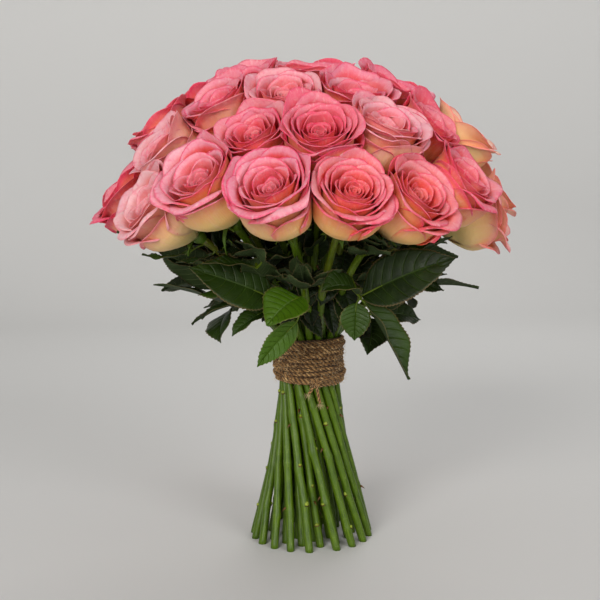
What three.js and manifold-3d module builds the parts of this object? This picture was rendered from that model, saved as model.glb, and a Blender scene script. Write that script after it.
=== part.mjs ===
// A hand-tied bunch of cut roses. The stems turn round each other in a spiral,
// jute twine binds them at the waist, and the cut ends make a level foot that
// the bunch stands on. Millimetres, +Z up, the origin under the middle of the
// bunch on the plane of the cut ends. The front of the bunch faces -Y.
import * as THREE from "three";
import { mergeVertices } from "three/addons/utils/BufferGeometryUtils.js";
import Module from "manifold-3d";

// ---- driving dimensions, mm ------------------------------------------------
const STEM_RADIUS = 3.1; // to the corners of the section
const STEM_SIDES = 6;
const HEAD_SIDES = 9;
const BLOOM_HEIGHT = 68; // from the foot of the hip to the top of the petals
const BLOOM_RADIUS = 24.6; // the cup of the petals
const BLOOM_RIM_RADIUS = 26.2; // the turned-out rim of the outer petals
const HIP_RADIUS = 5.6;
const TIE_BOTTOM = 138;
const TIE_TOP = 179.2;
const TIE_INNER_RADIUS = 27.8;
const TIE_OUTER_RADIUS = 31;
const TIE_BULGE = 1.2; // the middle turns stand this far proud of the end ones
const TIE_SIDES = 24;
const KNOT_GAP = 0.4;
const TAIL_RADIUS = 1.5;
const LEAF_THICKNESS = 1.5;
const LEAF_STALK_RADIUS = 1.25;
const LEAF_END_WIDTH = 1.8;
const CUT_PLANE = 0; // height of the level cut through all the stems

// ---- where each rose is ------------------------------------------------------
// hip: the foot of the bloom, axis: the way the bloom faces, size: its scale,
// stem: its centre line from the cut end up to the hip.
const ROSES = [
  { hip: [-12.73,-118.64,269.27], axis: [-0.2501,-0.6872,0.682], size: 1.05,
    stem: [[50.53,-10.12,0],[16.2,-19.01,123.73],[2.36,-23.24,171.79],[0.25,-23.6,181.04],[-1.52,-49.02,205.09],[-4.6,-76.53,231.27],[-8.06,-98.29,250.77],[-12.73,-118.64,269.27]] },
  { hip: [20.99,-122,270.61], axis: [0.1853,-0.7433,0.6428], size: 0.95,
    stem: [[51.27,6.17,0],[20.22,-13.82,128.48],[10.64,-20.97,168.12],[7.39,-22.41,180.16],[8.6,-31.08,186.58],[10.04,-52.07,209.08],[11.94,-70.75,227.03],[15.38,-93.67,246.89],[20.99,-122,270.61]] },
  { hip: [51.06,-105.9,268.97], axis: [0.562,-0.582,0.5878], size: 1,
    stem: [[40.14,32.48,0],[25.04,0.27,123.73],[22.42,-6.06,146.33],[19.52,-13.26,168.7],[17.79,-16.32,182],[20.58,-22.66,188.3],[24.15,-46.45,212.34],[27.15,-58.32,224.15],[30.12,-67.29,232.78],[33.68,-76.17,241.12],[39.3,-87.59,251.75],[49.05,-103.71,266.79],[51.06,-105.9,268.97]] },
  { hip: [85.55,-80.23,276.48], axis: [0.6562,-0.3489,0.6691], size: 0.98,
    stem: [[23.99,32.96,0],[18.59,1.03,142.38],[19.03,-4.2,163.11],[21.52,-9.69,181.04],[25.18,-15.73,190.39],[31.81,-27.4,205.58],[36.91,-34.59,214.86],[44.81,-44.28,227.25],[53.67,-53.82,239.45],[63.15,-62.86,251.3],[75.51,-73.1,265.55],[85.55,-80.23,276.48]] },
  { hip: [-54.96,-103.59,277.3], axis: [-0.4575,-0.5856,0.6691], size: 1.04,
    stem: [[44.93,-25.42,0],[9.45,-23.18,123.75],[-4.12,-23.18,168.77],[-6.87,-22.58,181.56],[-8.9,-27.29,184.97],[-10.61,-30.8,188.45],[-20.16,-46.78,211.65],[-30.44,-64.49,233.83],[-41.6,-83.23,254.96],[-54.96,-103.59,277.3]] },
  { hip: [-83.17,-81.12,267.57], axis: [-0.7488,-0.3981,0.5299], size: 1,
    stem: [[34.83,-38.16,0],[-2.05,-23.51,137.6],[-10.92,-20.79,168.72],[-13.26,-19.52,181.64],[-19.82,-27.06,190.93],[-35.52,-42.43,215.42],[-48.52,-54.48,232.92],[-65.3,-68.51,251.43],[-80.53,-79.66,265.64],[-83.17,-81.12,267.57]] },
  { hip: [-22.17,-91.01,308.56], axis: [-0.3346,-0.5795,0.7431], size: 0.95,
    stem: [[32.15,-15.56,0],[8.52,-15.58,119.02],[-0.9,-16.04,164.16],[-2.68,-16.28,176.43],[-3.02,-17.52,184.52],[-3.52,-20.66,192.27],[-6.44,-36.92,224.11],[-9.55,-53.02,252.75],[-14.26,-70.68,280.12],[-18.84,-83.49,298.35],[-22.17,-91.01,308.56]] },
  { hip: [8.29,-106.85,311.34], axis: [0.0242,-0.6942,0.7193], size: 0.95,
    stem: [[36.17,0.21,0],[5.28,-14.87,169.33],[3.98,-16.65,182.26],[3.82,-19.91,190.25],[3.81,-24.35,197.89],[4.43,-43.97,230.05],[5.19,-57.76,250.75],[6.6,-78.83,278.69],[8.29,-106.85,311.34]] },
  { hip: [40.86,-94.66,305.46], axis: [0.3443,-0.4407,0.829], size: 1.02,
    stem: [[38.71,16.36,0],[18.87,-6.29,128.68],[11.73,-14.53,172.44],[10.93,-16.33,180.32],[10.96,-17.75,184.18],[11.8,-21.71,191.66],[17.64,-43.5,225.3],[21.8,-56.23,244.86],[30.48,-76.46,275.86],[40.86,-94.66,305.46]] },
  { hip: [64.31,-60.38,318.48], axis: [0.6351,-0.3377,0.6947], size: 0.95,
    stem: [[22.49,16.67,0],[12.1,-3.65,147.53],[11.67,-6.79,169.48],[12.69,-10.54,186.18],[14.98,-15.73,203],[18.59,-21.39,220.42],[23.47,-27.51,238.18],[29.58,-34.01,255.86],[36.85,-40.72,273],[45.19,-47.43,289.23],[56.77,-55.65,308.12],[64.31,-60.38,318.48]] },
  { hip: [-45.83,-54.57,331.23], axis: [-0.4632,-0.3619,0.809], size: 0.98,
    stem: [[16,-15,0],[-1.26,-9.84,147.75],[-3.97,-9.51,170.14],[-5.57,-10.48,183.14],[-9.01,-14.46,205.01],[-12.27,-18.49,223.36],[-16.12,-23.34,242.23],[-20.63,-28.89,261.21],[-25.87,-34.98,279.87],[-31.87,-41.4,297.85],[-40.27,-49.63,319.22],[-45.83,-54.57,331.23]] },
  { hip: [-74.18,-59.13,307.74], axis: [-0.7306,-0.2952,0.6157], size: 1,
    stem: [[20.97,-30.23,0],[-0.25,-18.31,119.02],[-10.34,-13.14,172.45],[-11.98,-12.69,180.55],[-12.93,-13.07,184.63],[-15.09,-15.09,192.79],[-24.16,-24.66,221.66],[-30.55,-30.38,238.41],[-37.92,-36.45,254.87],[-46.33,-42.72,270.56],[-53.3,-47.39,281.6],[-65.94,-54.93,298.61],[-71.2,-57.88,305.12],[-74.18,-59.13,307.74]] },
  { hip: [-16.02,-58.87,338.96], axis: [-0.0205,-0.5874,0.809], size: 0.9,
    stem: [[19.89,0.66,0],[3.03,-8.25,170.83],[1.5,-9.67,184.15],[-2.15,-14.01,211.67],[-6.7,-21.21,245.98],[-9.2,-26.68,265.9],[-10.93,-31.49,280.63],[-13.79,-42.92,308.82],[-15.9,-56.22,335.18],[-16.02,-58.87,338.96]] },
  { hip: [29.65,-54.44,329.73], axis: [0.1642,-0.4065,0.8988], size: 1.02,
    stem: [[6.5,9.95,0],[5.48,0.23,147.54],[5.85,-1.33,165.21],[6.71,-4.09,182.23],[9.7,-11.38,212.49],[15.12,-22.73,249.12],[21.57,-36.32,286.06],[29.65,-54.44,329.73]] },
  { hip: [-40.63,-12.36,347.79], axis: [-0.171,-0.2962,0.9397], size: 0.98,
    stem: [[1.8,-22.93,0],[-8.54,-5.68,157.17],[-10.73,-3.56,179.74],[-14.68,-1.7,207.51],[-21.51,-0.77,247.51],[-28.33,-2.24,283.75],[-34.2,-5.75,314.13],[-39.82,-11.03,343.35],[-40.63,-12.36,347.79]] },
  { hip: [52.37,-18.67,338.2], axis: [0.3796,-0.2192,0.8988], size: 1,
    stem: [[9.3,26.1,0],[11.82,4.25,143.06],[13.05,-0.42,174.2],[14.21,-2.01,187.31],[21.07,-5.04,229.11],[30.02,-8.51,268.34],[39.77,-12.57,302.07],[52.37,-18.67,338.2]] },
  { hip: [-113.99,-28.98,270.09], axis: [-0.7166,-0.1822,0.6732], size: 0.98,
    stem: [[21.04,-47.05,0],[-5.05,-25.08,118.93],[-17.53,-15.79,172.52],[-18.8,-14.26,178.98],[-24.63,-15.39,185.06],[-44.37,-16.89,205.66],[-62.25,-19.03,223.28],[-84.04,-22.67,243.28],[-113.99,-28.98,270.09]] },
  { hip: [99.96,-35.14,272.94], axis: [0.9467,-0.1669,0.2756], size: 1,
    stem: [[18.37,48.19,0],[21.45,12.83,123.75],[23.16,1.67,162.68],[23.45,-2.63,180.85],[43.33,-15.26,218.53],[52.01,-19.66,231.84],[59.29,-22.83,241.18],[67.19,-25.85,249.73],[78.53,-29.55,259.65],[96.68,-34.54,271.88],[99.96,-35.14,272.94]] },
  { hip: [116.24,10.41,269.26], axis: [0.7365,0.0659,0.6732], size: 1,
    stem: [[2.42,51.6,0],[18.04,15.22,137.59],[22.27,7.57,168.01],[23.15,4.6,180.29],[27.4,4.82,183.37],[34.01,5.04,189.58],[53.47,5.51,210.97],[68.07,6.28,225.71],[116.24,10.41,269.26]] },
  { hip: [102.57,58.5,270.51], axis: [0.6423,0.3663,0.6732], size: 0.97,
    stem: [[-29.96,42.08,0],[2.45,24.37,128.45],[13.53,19.23,168.43],[16.3,17.07,180.93],[22.96,21.02,187.11],[44.71,29.78,211.63],[61.35,37.23,229.35],[102.57,58.5,270.51]] },
  { hip: [69.06,92.36,268.01], axis: [0.4428,0.5922,0.6732], size: 1.03,
    stem: [[-33.65,26.16,0],[-1.65,19.58,137.68],[4.45,19.56,161.89],[10.34,21.21,181.17],[23.25,35.18,202],[34.7,48.49,219.35],[46.55,63.13,236.26],[69.06,92.36,268.01]] },
  { hip: [29.12,113.96,270.09], axis: [0.1831,0.7164,0.6732], size: 0.98,
    stem: [[-48.06,18.86,0],[-8.62,21.97,137.62],[0.94,23.53,171.9],[3.37,23.36,181.16],[6.55,33.15,190.24],[13.43,55.24,214.41],[17.61,69.68,229.13],[29.12,113.96,270.09]] },
  { hip: [-16.23,114.64,268.42], axis: [-0.1036,0.7321,0.6732], size: 1.02,
    stem: [[-51.51,2.96,0],[-10.7,20.41,154.26],[-7.5,22.19,168.48],[-5.43,22.97,181.02],[-6.18,32.78,190.04],[-7.24,49.91,207.76],[-9.19,67.26,225.22],[-16.23,114.64,268.42]] },
  { hip: [-61.54,100.78,270.51], axis: [-0.3853,0.6311,0.6732], size: 0.97,
    stem: [[-49.9,-13.17,0],[-23.99,9.07,118.93],[-15.77,17,158.01],[-13.42,19.41,171.42],[-12.04,20.3,180.58],[-16.91,29.66,189.92],[-27.09,46.9,211.56],[-34.95,59.54,226.47],[-61.54,100.78,270.51]] },
  { hip: [-98.42,62.72,269.26], axis: [-0.6236,0.3974,0.6732], size: 1,
    stem: [[-32.41,-40.1,0],[-23.54,-1.61,137.69],[-22.33,7.22,168.96],[-21.37,10,181.62],[-29.42,15.74,190.54],[-60.33,38.09,228.61],[-98.42,62.72,269.26]] },
  { hip: [-116.4,16.92,270.09], axis: [-0.7317,0.1064,0.6732], size: 0.98,
    stem: [[-2.41,-51.54,0],[-17.98,-15.28,137.73],[-22.65,-6.63,172.22],[-23.28,-3.89,181.64],[-30.31,-2.69,187.75],[-53.28,4.03,211.53],[-71.01,8.38,229.1],[-116.4,16.92,270.09]] },
  { hip: [98.39,-26.11,306.86], axis: [0.5583,-0.1482,0.8163], size: 1,
    stem: [[-3.05,36.58,0],[14.84,6.57,172.77],[16.18,5.11,180.77],[17.51,4.22,184.66],[21.44,2.18,192.18],[50.5,-10.01,238.07],[71.95,-17.79,269.45],[98.39,-26.11,306.86]] },
  { hip: [-94.69,-19.68,317.03], axis: [-0.5206,-0.1082,0.8469], size: 0.96,
    stem: [[7.1,-38.44,0],[-14.93,-8.88,168.94],[-17.29,-7.73,181.44],[-20.42,-7.87,189.53],[-24.43,-8.11,197.45],[-46.88,-10.52,238.69],[-64.48,-13.56,268.46],[-94.69,-19.68,317.03]] },
  { hip: [98.88,26.29,308.13], axis: [0.5569,0.1481,0.8173], size: 0.98,
    stem: [[-14.8,49.35,0],[8.24,24.2,119],[20.56,11.58,179.45],[41.55,13.96,218.38],[55.76,16.27,242.56],[73.6,20.04,270.5],[98.88,26.29,308.13]] },
  { hip: [70.81,68.42,310.66], axis: [0.399,0.3855,0.832], size: 1,
    stem: [[-18.2,31.14,0],[6.32,14.8,147.31],[10.2,12.08,172.8],[11.5,11.95,180.92],[12.53,12.51,184.9],[15.52,14.84,192.64],[35.22,32.68,235.81],[48.41,45.78,264.28],[70.81,68.42,310.66]] },
  { hip: [25.4,94.68,314.6], axis: [0.1407,0.5245,0.8397], size: 0.96,
    stem: [[-36.02,7.88,0],[-7.67,14.85,142.85],[-1.56,16.99,177.3],[0.01,18.74,185.43],[2.59,24.25,197.18],[12,49.09,241.81],[17.54,66.85,270.98],[25.4,94.68,314.6]] },
  { hip: [-25.98,93.8,310.1], axis: [-0.1473,0.5318,0.834], size: 1.02,
    stem: [[-33.77,-14.83,0],[-14.89,7.51,142.8],[-11.4,11.87,172.92],[-10.91,13.37,180.98],[-10.85,14.75,184.91],[-11.05,18.76,192.55],[-14.71,45.17,235.46],[-19.03,65.87,267.79],[-25.98,93.8,310.1]] },
  { hip: [-71.35,74.38,307.19], axis: [-0.4025,0.4197,0.8135], size: 0.98,
    stem: [[-43.29,-28.05,0],[-22.85,5.9,137.96],[-19.47,12.45,163.64],[-17.73,15.57,179.1],[-27.62,28.82,210.13],[-38.32,40.96,238.11],[-50.96,53.97,266.01],[-71.35,74.38,307.19]] },
  { hip: [-95.55,30.77,308.62], axis: [-0.5402,0.174,0.8233], size: 1,
    stem: [[-18.37,-48.24,0],[-21.89,-8.82,137.98],[-23.46,2.6,178.79],[-39.86,10.87,214.39],[-52.43,16.11,238.69],[-68.94,22.07,266.89],[-95.55,30.77,308.62]] },
  { hip: [65.63,19.1,334.33], axis: [0.3558,0.1036,0.9288], size: 0.97,
    stem: [[-5.96,20.55,0],[7.27,6.1,166.04],[8.05,5.55,174.9],[9.58,5.43,183.49],[19.44,6.92,213.58],[31.01,9.47,246.08],[65.63,19.1,334.33]] },
  { hip: [35.15,51.41,335.01], axis: [0.1922,0.281,0.9403], size: 1,
    stem: [[-21.48,15.18,0],[-1.58,12,138.36],[2.07,12,165.73],[3.94,12.7,178.75],[9.82,17.46,208.91],[16.21,24.71,241.4],[23.86,35.04,279.73],[35.15,51.41,335.01]] },
  { hip: [-6.63,61.69,337.79], axis: [-0.0357,0.3326,0.9424], size: 0.96,
    stem: [[-23.44,-2.43,0],[-7.6,7.5,143.13],[-5.38,9.18,165.93],[-4.48,10.75,179.08],[-3.57,17.35,205.19],[-3.6,28.58,242.7],[-4.56,41.67,281.61],[-6.63,61.69,337.79]] },
  { hip: [-48.7,47.58,332.41], axis: [-0.2667,0.2606,0.9279], size: 1,
    stem: [[-22.81,-26.85,0],[-15.86,0.25,142.99],[-14.87,7.31,182.48],[-18.85,14.13,208.19],[-27.25,24.99,249.71],[-36.43,35.13,287.42],[-48.7,47.58,332.41]] },
  { hip: [-67.85,8.74,333.82], axis: [-0.3687,0.0475,0.9283], size: 0.98,
    stem: [[-8.84,-35.18,0],[-14.38,-8.82,133.58],[-17.56,0.22,182.54],[-19.34,1.18,191.06],[-24.2,2.43,208.53],[-37.1,5,250.45],[-50.51,6.78,288.5],[-67.85,8.74,333.82]] },
  { hip: [3.27,-29.04,346], axis: [0.0176,-0.1567,0.9875], size: 1,
    stem: [[2.31,-6.59,0],[-1.57,-2.75,143.17],[-1.85,-2.49,161.54],[-1.98,-3.12,179.33],[-1.72,-5.23,201.95],[-0.68,-9.9,235.77],[3.27,-29.04,346]] },
  { hip: [24.14,8.73,347.04], axis: [0.1299,0.047,0.9904], size: 0.97,
    stem: [[-9.01,4.72,0],[0.98,4.48,174.98],[9.92,5.51,246.25],[24.14,8.73,347.04]] },
  { hip: [-18.03,17.11,346.48], axis: [-0.0974,0.0924,0.991], size: 0.98,
    stem: [[-12.18,-14.34,0],[-8.48,0.12,143.15],[-8.23,4.33,188.2],[-9.2,7.02,220.97],[-11.33,10.15,261.27],[-18.03,17.11,346.48]] }
];

// ---- where each leaf is --------------------------------------------------------
// A rose leaf is one piece with several leaflets on a common stalk. up: the side
// that the upper face looks to, bend and fold in degrees.
const LEAVES = [
  { joint: [40.51,-86.34,220.25], root: [34.08,-75.71,234.22], leaflets: [
    { base: [42.01,-88.34,222.02], tip: [111.37,-117.07,252.56], up: [0.153,-0.814,0.56], width: 44, bend: 26, fold: 10 },
    { base: [44.25,-90.34,216.54], tip: [77.75,-97.07,155.48], up: [0.756,-0.605,0.252], width: 34, bend: 10, fold: 42 },
    { base: [37.01,-92.34,224.04], tip: [9.11,-103.07,226.59], up: [0,-0.447,0.894], width: 30, bend: 105, fold: 24 },
    { base: [37.36,-84.34,216.07], tip: [35.58,-85.07,185.84], up: [0,-0.995,0.1], width: 25, bend: 14, fold: 14 } ] },
  { joint: [-4.26,-80,220.16], root: [-4.25,-76.5,224.28], leaflets: [
    { base: [-7.47,-84,221.38], tip: [-33.63,-102,200.59], up: [-0.099,-0.713,0.694], width: 42, bend: 62, fold: 10 },
    { base: [-10.18,-76,200.37], tip: [-43.03,-80,164.66], up: [0.512,-0.82,0.256], width: 22, bend: -34, fold: 18 } ] },
  { joint: [-27.99,-74.81,219.8], root: [-28.63,-65.72,227.3], leaflets: [
    { base: [-29.51,-78.81,220.19], tip: [-93.44,-106.25,247.22], up: [-0.1,-0.86,0.5], width: 43, bend: 20, fold: 8 },
    { base: [-38.03,-68.81,214.47], tip: [-88.18,-74.25,204.48], up: [-0.297,-0.346,0.89], width: 24, bend: 48, fold: 20 },
    { base: [-34.9,-66.81,209.28], tip: [-63.43,-72.25,189.12], up: [-0.298,-0.596,0.745], width: 22, bend: 36, fold: 20 } ] },
  { joint: [-41.12,-97.21,245.94], root: [-42.3,-88.8,253.61], leaflets: [
    { base: [-42.61,-99.21,246.87], tip: [-82.22,-113.37,250.41], up: [0,-0.349,0.937], width: 19, bend: 22, fold: 18 },
    { base: [-36.03,-105.21,251.05], tip: [-55.61,-125.37,268.22], up: [-0.201,-0.301,0.932], width: 20, bend: 30, fold: 12 } ] },
  { joint: [51.04,-28.93,200.52], root: [38.24,-29.8,206.83], leaflets: [
    { base: [53.2,-32.64,204.15], tip: [78.49,-76.06,246.68], up: [0.589,-0.38,0.713], width: 32.4, bend: 28.9, fold: 15.9 },
    { base: [53.65,-27.38,200.05], tip: [99.03,-0.3,191.89], up: [0.687,-0.263,0.678], width: 29, bend: 37.7, fold: 13 },
    { base: [50.58,-34.33,198.37], tip: [45.73,-92.02,175.4], up: [0.405,-0.536,0.741], width: 35.1, bend: 46.7, fold: 12.8 } ] },
  { joint: [70.18,2.92,212.73], root: [65.98,4.59,216.7], leaflets: [
    { base: [73.6,1.62,213.11], tip: [145.83,-25.81,221.25], up: [0.606,-0.115,0.787], width: 32.8, bend: 39.6, fold: 21.6 },
    { base: [71.83,6.34,211.51], tip: [96.8,58.12,193.04], up: [0.683,-0.237,0.691], width: 28.4, bend: 16.6, fold: 11.7 } ] },
  { joint: [77.88,28.17,223.02], root: [67.11,35.66,229.2], leaflets: [
    { base: [80.04,28.97,225.16], tip: [122.08,44.48,266.7], up: [0.641,0.135,0.755], width: 32.7, bend: 16.5, fold: 18.2 },
    { base: [77.84,32.46,221.95], tip: [97,66,194], up: [0.636,0.09,0.766], width: 34.2, bend: 32.7, fold: 9.1 } ] },
  { joint: [67.69,45.53,223.01], root: [65.2,41.35,227.81], leaflets: [
    { base: [71.45,48.96,225.73], tip: [118.23,91.6,259.61], up: [0.624,0.354,0.697], width: 38.5, bend: 32.9, fold: 24 },
    { base: [66.78,49.31,221.93], tip: [53.76,103.41,206.58], up: [0.683,0.247,0.687], width: 31.4, bend: 12.8, fold: 15.4 } ] },
  { joint: [32.09,69.09,217.82], root: [20.92,66.57,222.88], leaflets: [
    { base: [32.63,73.38,220.29], tip: [40.37,134.87,255.71], up: [0.441,0.542,0.715], width: 32.9, bend: 52.2, fold: 17.6 },
    { base: [30.01,72.5,216.84], tip: [-1.47,124.3,202.07], up: [0.466,0.439,0.768], width: 34.3, bend: 16.2, fold: 17 } ] },
  { joint: [-4.11,59.95,204.15], root: [-5.89,56.5,207.65], leaflets: [
    { base: [-3.23,62.98,206.12], tip: [13.21,119.17,242.79], up: [0.032,0.599,0.8], width: 40.1, bend: 42.5, fold: 23.9 },
    { base: [-8.51,61.13,202.81], tip: [-65.2,76.3,185.61], up: [-0.075,0.65,0.756], width: 28.6, bend: 27.6, fold: 18.5 },
    { base: [-0.35,62.16,202.9], tip: [45.87,89.26,187.58], up: [0.232,0.686,0.69], width: 29.5, bend: 56.6, fold: 17.1 } ] },
  { joint: [-34,71.88,219.63], root: [-35.39,65.25,225.29], leaflets: [
    { base: [-35.22,76.28,221.14], tip: [-49.38,127.36,238.61], up: [-0.394,0.441,0.807], width: 38.8, bend: 27, fold: 18 },
    { base: [-36.83,71.29,218.72], tip: [-87.66,60.74,202.26], up: [-0.233,0.706,0.669], width: 29.1, bend: 31.1, fold: 10.2 } ] },
  { joint: [-53.84,44.8,211.72], root: [-53.47,37.13,217.03], leaflets: [
    { base: [-55.89,46.58,213.33], tip: [-93.94,79.67,243.3], up: [-0.472,0.405,0.783], width: 35.4, bend: 44.7, fold: 21.8 },
    { base: [-56.8,43.71,210.38], tip: [-106.79,25.4,187.93], up: [-0.52,0.355,0.777], width: 29.5, bend: 17, fold: 18.6 },
    { base: [-53.26,48.57,210.57], tip: [-45.02,102.45,194.17], up: [-0.287,0.696,0.658], width: 32, bend: 31.8, fold: 9.9 } ] },
  { joint: [-83.64,30.79,228.16], root: [-70.88,39.69,233.96], leaflets: [
    { base: [-86.31,31.06,229.66], tip: [-134.23,35.82,256.49], up: [-0.591,0.304,0.747], width: 32.9, bend: 54, fold: 19.3 },
    { base: [-87.58,26.85,227.63], tip: [-128,-13.6,222.23], up: [-0.727,0.003,0.687], width: 34, bend: 19.6, fold: 16 } ] },
  { joint: [-62.92,-7.42,205.78], root: [-57.07,0.61,210.47], leaflets: [
    { base: [-68.18,-9.01,207.52], tip: [-132.58,-28.42,228.77], up: [-0.771,-0.256,0.583], width: 34.2, bend: 19.2, fold: 9.5 },
    { base: [-63.7,-12.48,204.02], tip: [-72.76,-70.99,183.6], up: [-0.63,-0.125,0.766], width: 34.1, bend: 55, fold: 12.4 } ] },
  { joint: [-75.22,-28.24,222.33], root: [-71.6,-23.46,226.65], leaflets: [
    { base: [-77.86,-29.95,224.4], tip: [-121.57,-58.09,258.58], up: [-0.626,0.037,0.779], width: 39.4, bend: 36.9, fold: 16.7 },
    { base: [-74.6,-33.62,222.28], tip: [-68.94,-83.05,221.76], up: [-0.527,-0.452,0.72], width: 32.8, bend: 55.7, fold: 22 } ] }
];

// ---- materials -----------------------------------------------------------------
const rosePink = new THREE.MeshStandardMaterial({ color: 0xf07f93, roughness: 0.55, metalness: 0 });
const leafGreen = new THREE.MeshStandardMaterial({ color: 0x23401c, roughness: 0.42, metalness: 0 });
const juteTan = new THREE.MeshStandardMaterial({ color: 0xa07a4c, roughness: 0.92, metalness: 0 });

// ---- helpers -------------------------------------------------------------------
const wasm = await Module();
wasm.setup();

const vec = (a) => new THREE.Vector3(a[0], a[1], a[2]);

function toSolid(geometry) {
  const g = geometry.clone();
  for (const name of Object.keys(g.attributes))
    if (name !== "position") g.deleteAttribute(name);
  const merged = mergeVertices(g, 1e-4);
  return new wasm.Manifold(
    new wasm.Mesh({
      numProp: 3,
      vertProperties: new Float32Array(merged.attributes.position.array),
      triVerts: new Uint32Array(merged.index.array),
    }),
  );
}

function toGeometry(solid) {
  const m = solid.getMesh();
  const g = new THREE.BufferGeometry();
  g.setAttribute("position", new THREE.BufferAttribute(new Float32Array(m.vertProperties), 3));
  g.setIndex(new THREE.BufferAttribute(new Uint32Array(m.triVerts), 1));
  g.computeVertexNormals();
  return g;
}

// A polyline as a curve, so that an extrusion follows its corners exactly.
class Polyline extends THREE.Curve {
  constructor(points) {
    super();
    this.points = points;
  }
  getPoint(t, target = new THREE.Vector3()) {
    const s = t * (this.points.length - 1);
    const i = Math.min(Math.floor(s), this.points.length - 2);
    return target.lerpVectors(this.points[i], this.points[i + 1], s - i);
  }
  getPointAt(u, target) {
    return this.getPoint(u, target);
  }
  getTangentAt(u, target = new THREE.Vector3()) {
    const n = this.points.length - 1;
    const k = Math.round(u * n);
    const a = this.points[Math.max(0, k - 1)];
    const b = this.points[Math.min(n, k + 1)];
    return target.subVectors(b, a).normalize();
  }
  getTangent(u, target) {
    return this.getTangentAt(u, target);
  }
}

function polygon(radius, sides) {
  const shape = new THREE.Shape();
  for (let i = 0; i < sides; i++) {
    const a = (2 * Math.PI * i) / sides;
    if (i) shape.lineTo(radius * Math.cos(a), radius * Math.sin(a));
    else shape.moveTo(radius, 0);
  }
  shape.closePath();
  return shape;
}

function rod(points, radius, sides) {
  return new THREE.ExtrudeGeometry(polygon(radius, sides), {
    steps: points.length - 1,
    bevelEnabled: false,
    extrudePath: new Polyline(points),
  });
}

// ---- a rose: stem, hip and closed head of petals, grown as one piece -------------
function roseGeometry(rose) {
  const points = rose.stem.map(vec);
  // the stem is drawn a little below the cutting plane, then cut level
  const down = points[0].clone().sub(points[1]).normalize();
  const start = points[0].clone().addScaledVector(down, 7);
  const axis = vec(rose.axis).normalize();
  const last = points[points.length - 1].clone().addScaledVector(axis, 3);
  const stem = toSolid(rod([start, ...points.slice(1, -1), last], STEM_RADIUS, STEM_SIDES));
  const s = rose.size;
  const profile = [
    [0, -1.5], [HIP_RADIUS, 3.5], [HIP_RADIUS * 1.15, 9], [BLOOM_RADIUS * 0.82, 18],
    [BLOOM_RADIUS, 30], [BLOOM_RIM_RADIUS, 50], [BLOOM_RADIUS * 0.8, BLOOM_HEIGHT - 6], [0, BLOOM_HEIGHT],
  ].map(([r, z]) => new THREE.Vector2(r * s, z * s));
  const head = new THREE.LatheGeometry(profile, HEAD_SIDES);
  head.rotateX(Math.PI / 2); // the lathe axis from +Y to +Z
  head.applyQuaternion(new THREE.Quaternion().setFromUnitVectors(new THREE.Vector3(0, 0, 1), axis));
  head.translate(...rose.hip);
  const below = new THREE.BoxGeometry(400, 400, 40);
  below.translate(0, 0, CUT_PLANE - 20);
  return toGeometry(stem.subtract(toSolid(below)).add(toSolid(head)));
}

// ---- a leaflet: a curved, folded blade ---------------------------------------------
function leafletSolid(l, joint) {
  const base = vec(l.base), tip = vec(l.tip);
  const chord = tip.clone().sub(base);
  const length = chord.length();
  const d = chord.clone().normalize();
  const n = vec(l.up);
  n.addScaledVector(d, -n.dot(d)).normalize();
  const side = new THREE.Vector3().crossVectors(d, n);
  const k = THREE.MathUtils.degToRad(l.bend);
  const arc = Math.abs(k) < 1e-3 ? length : (length * (k / 2)) / Math.sin(k / 2);
  const fold = THREE.MathUtils.degToRad(l.fold);
  const rows = 4, columns = 2, fine = 60;
  const line = [base.clone()];
  for (let i = 0; i < fine; i++) {
    const a = k / 2 - (k * (i + 0.5)) / fine;
    line.push(line[i].clone().addScaledVector(d, (Math.cos(a) * arc) / fine).addScaledVector(n, (Math.sin(a) * arc) / fine));
  }
  const top = [], bottom = [];
  // the first row is at the common joint, where the leaflet's own stalk starts
  for (let r = -1; r <= rows; r++) {
    const t = Math.max(0, r / rows);
    const c = r < 0 ? joint : line[Math.round(t * fine)];
    const a = k / 2 - k * t;
    const nt = n.clone().multiplyScalar(Math.cos(a)).addScaledVector(d, -Math.sin(a));
    const w = Math.max(LEAF_END_WIDTH / 2, (l.width / 2) * Math.pow(Math.max(0, Math.sin(Math.PI * Math.pow(t, 0.78))), 0.85));
    for (let c2 = 0; c2 <= columns; c2++) {
      const x = (2 * c2) / columns - 1;
      const p = c.clone()
        .addScaledVector(side, x * w * Math.cos(fold))
        .addScaledVector(nt, Math.abs(x) * w * Math.sin(fold));
      top.push(p.clone().addScaledVector(nt, LEAF_THICKNESS / 2));
      bottom.push(p.clone().addScaledVector(nt, -LEAF_THICKNESS / 2));
    }
  }
  const m = columns + 1, total = top.length, index = [];
  const quad = (a, b, c, e) => index.push(a, b, c, a, c, e);
  for (let r = 0; r <= rows; r++)
    for (let c = 0; c < columns; c++) {
      const a = r * m + c, b = a + 1, e = a + m, f = e + 1;
      quad(a, b, f, e);
      quad(total + a, total + e, total + f, total + b);
    }
  for (let r = 0; r <= rows; r++) {
    const a = r * m, e = a + m;
    quad(a, e, total + e, total + a);
    const b = a + columns, f = e + columns;
    quad(b, total + b, total + f, f);
  }
  for (let c = 0; c < columns; c++) {
    const a = c, b = c + 1;
    quad(a, total + a, total + b, b);
    const e = (rows + 1) * m + c, f = e + 1;
    quad(e, f, total + f, total + e);
  }
  const g = new THREE.BufferGeometry();
  g.setAttribute("position", new THREE.Float32BufferAttribute([...top, ...bottom].flatMap((p) => p.toArray()), 3));
  g.setIndex(index);
  let solid = toSolid(g);
  if (solid.volume() < 0) {
    for (let i = 0; i < index.length; i += 3) [index[i + 1], index[i + 2]] = [index[i + 2], index[i + 1]];
    g.setIndex(index);
    solid = toSolid(g);
  }
  return solid;
}

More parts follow.
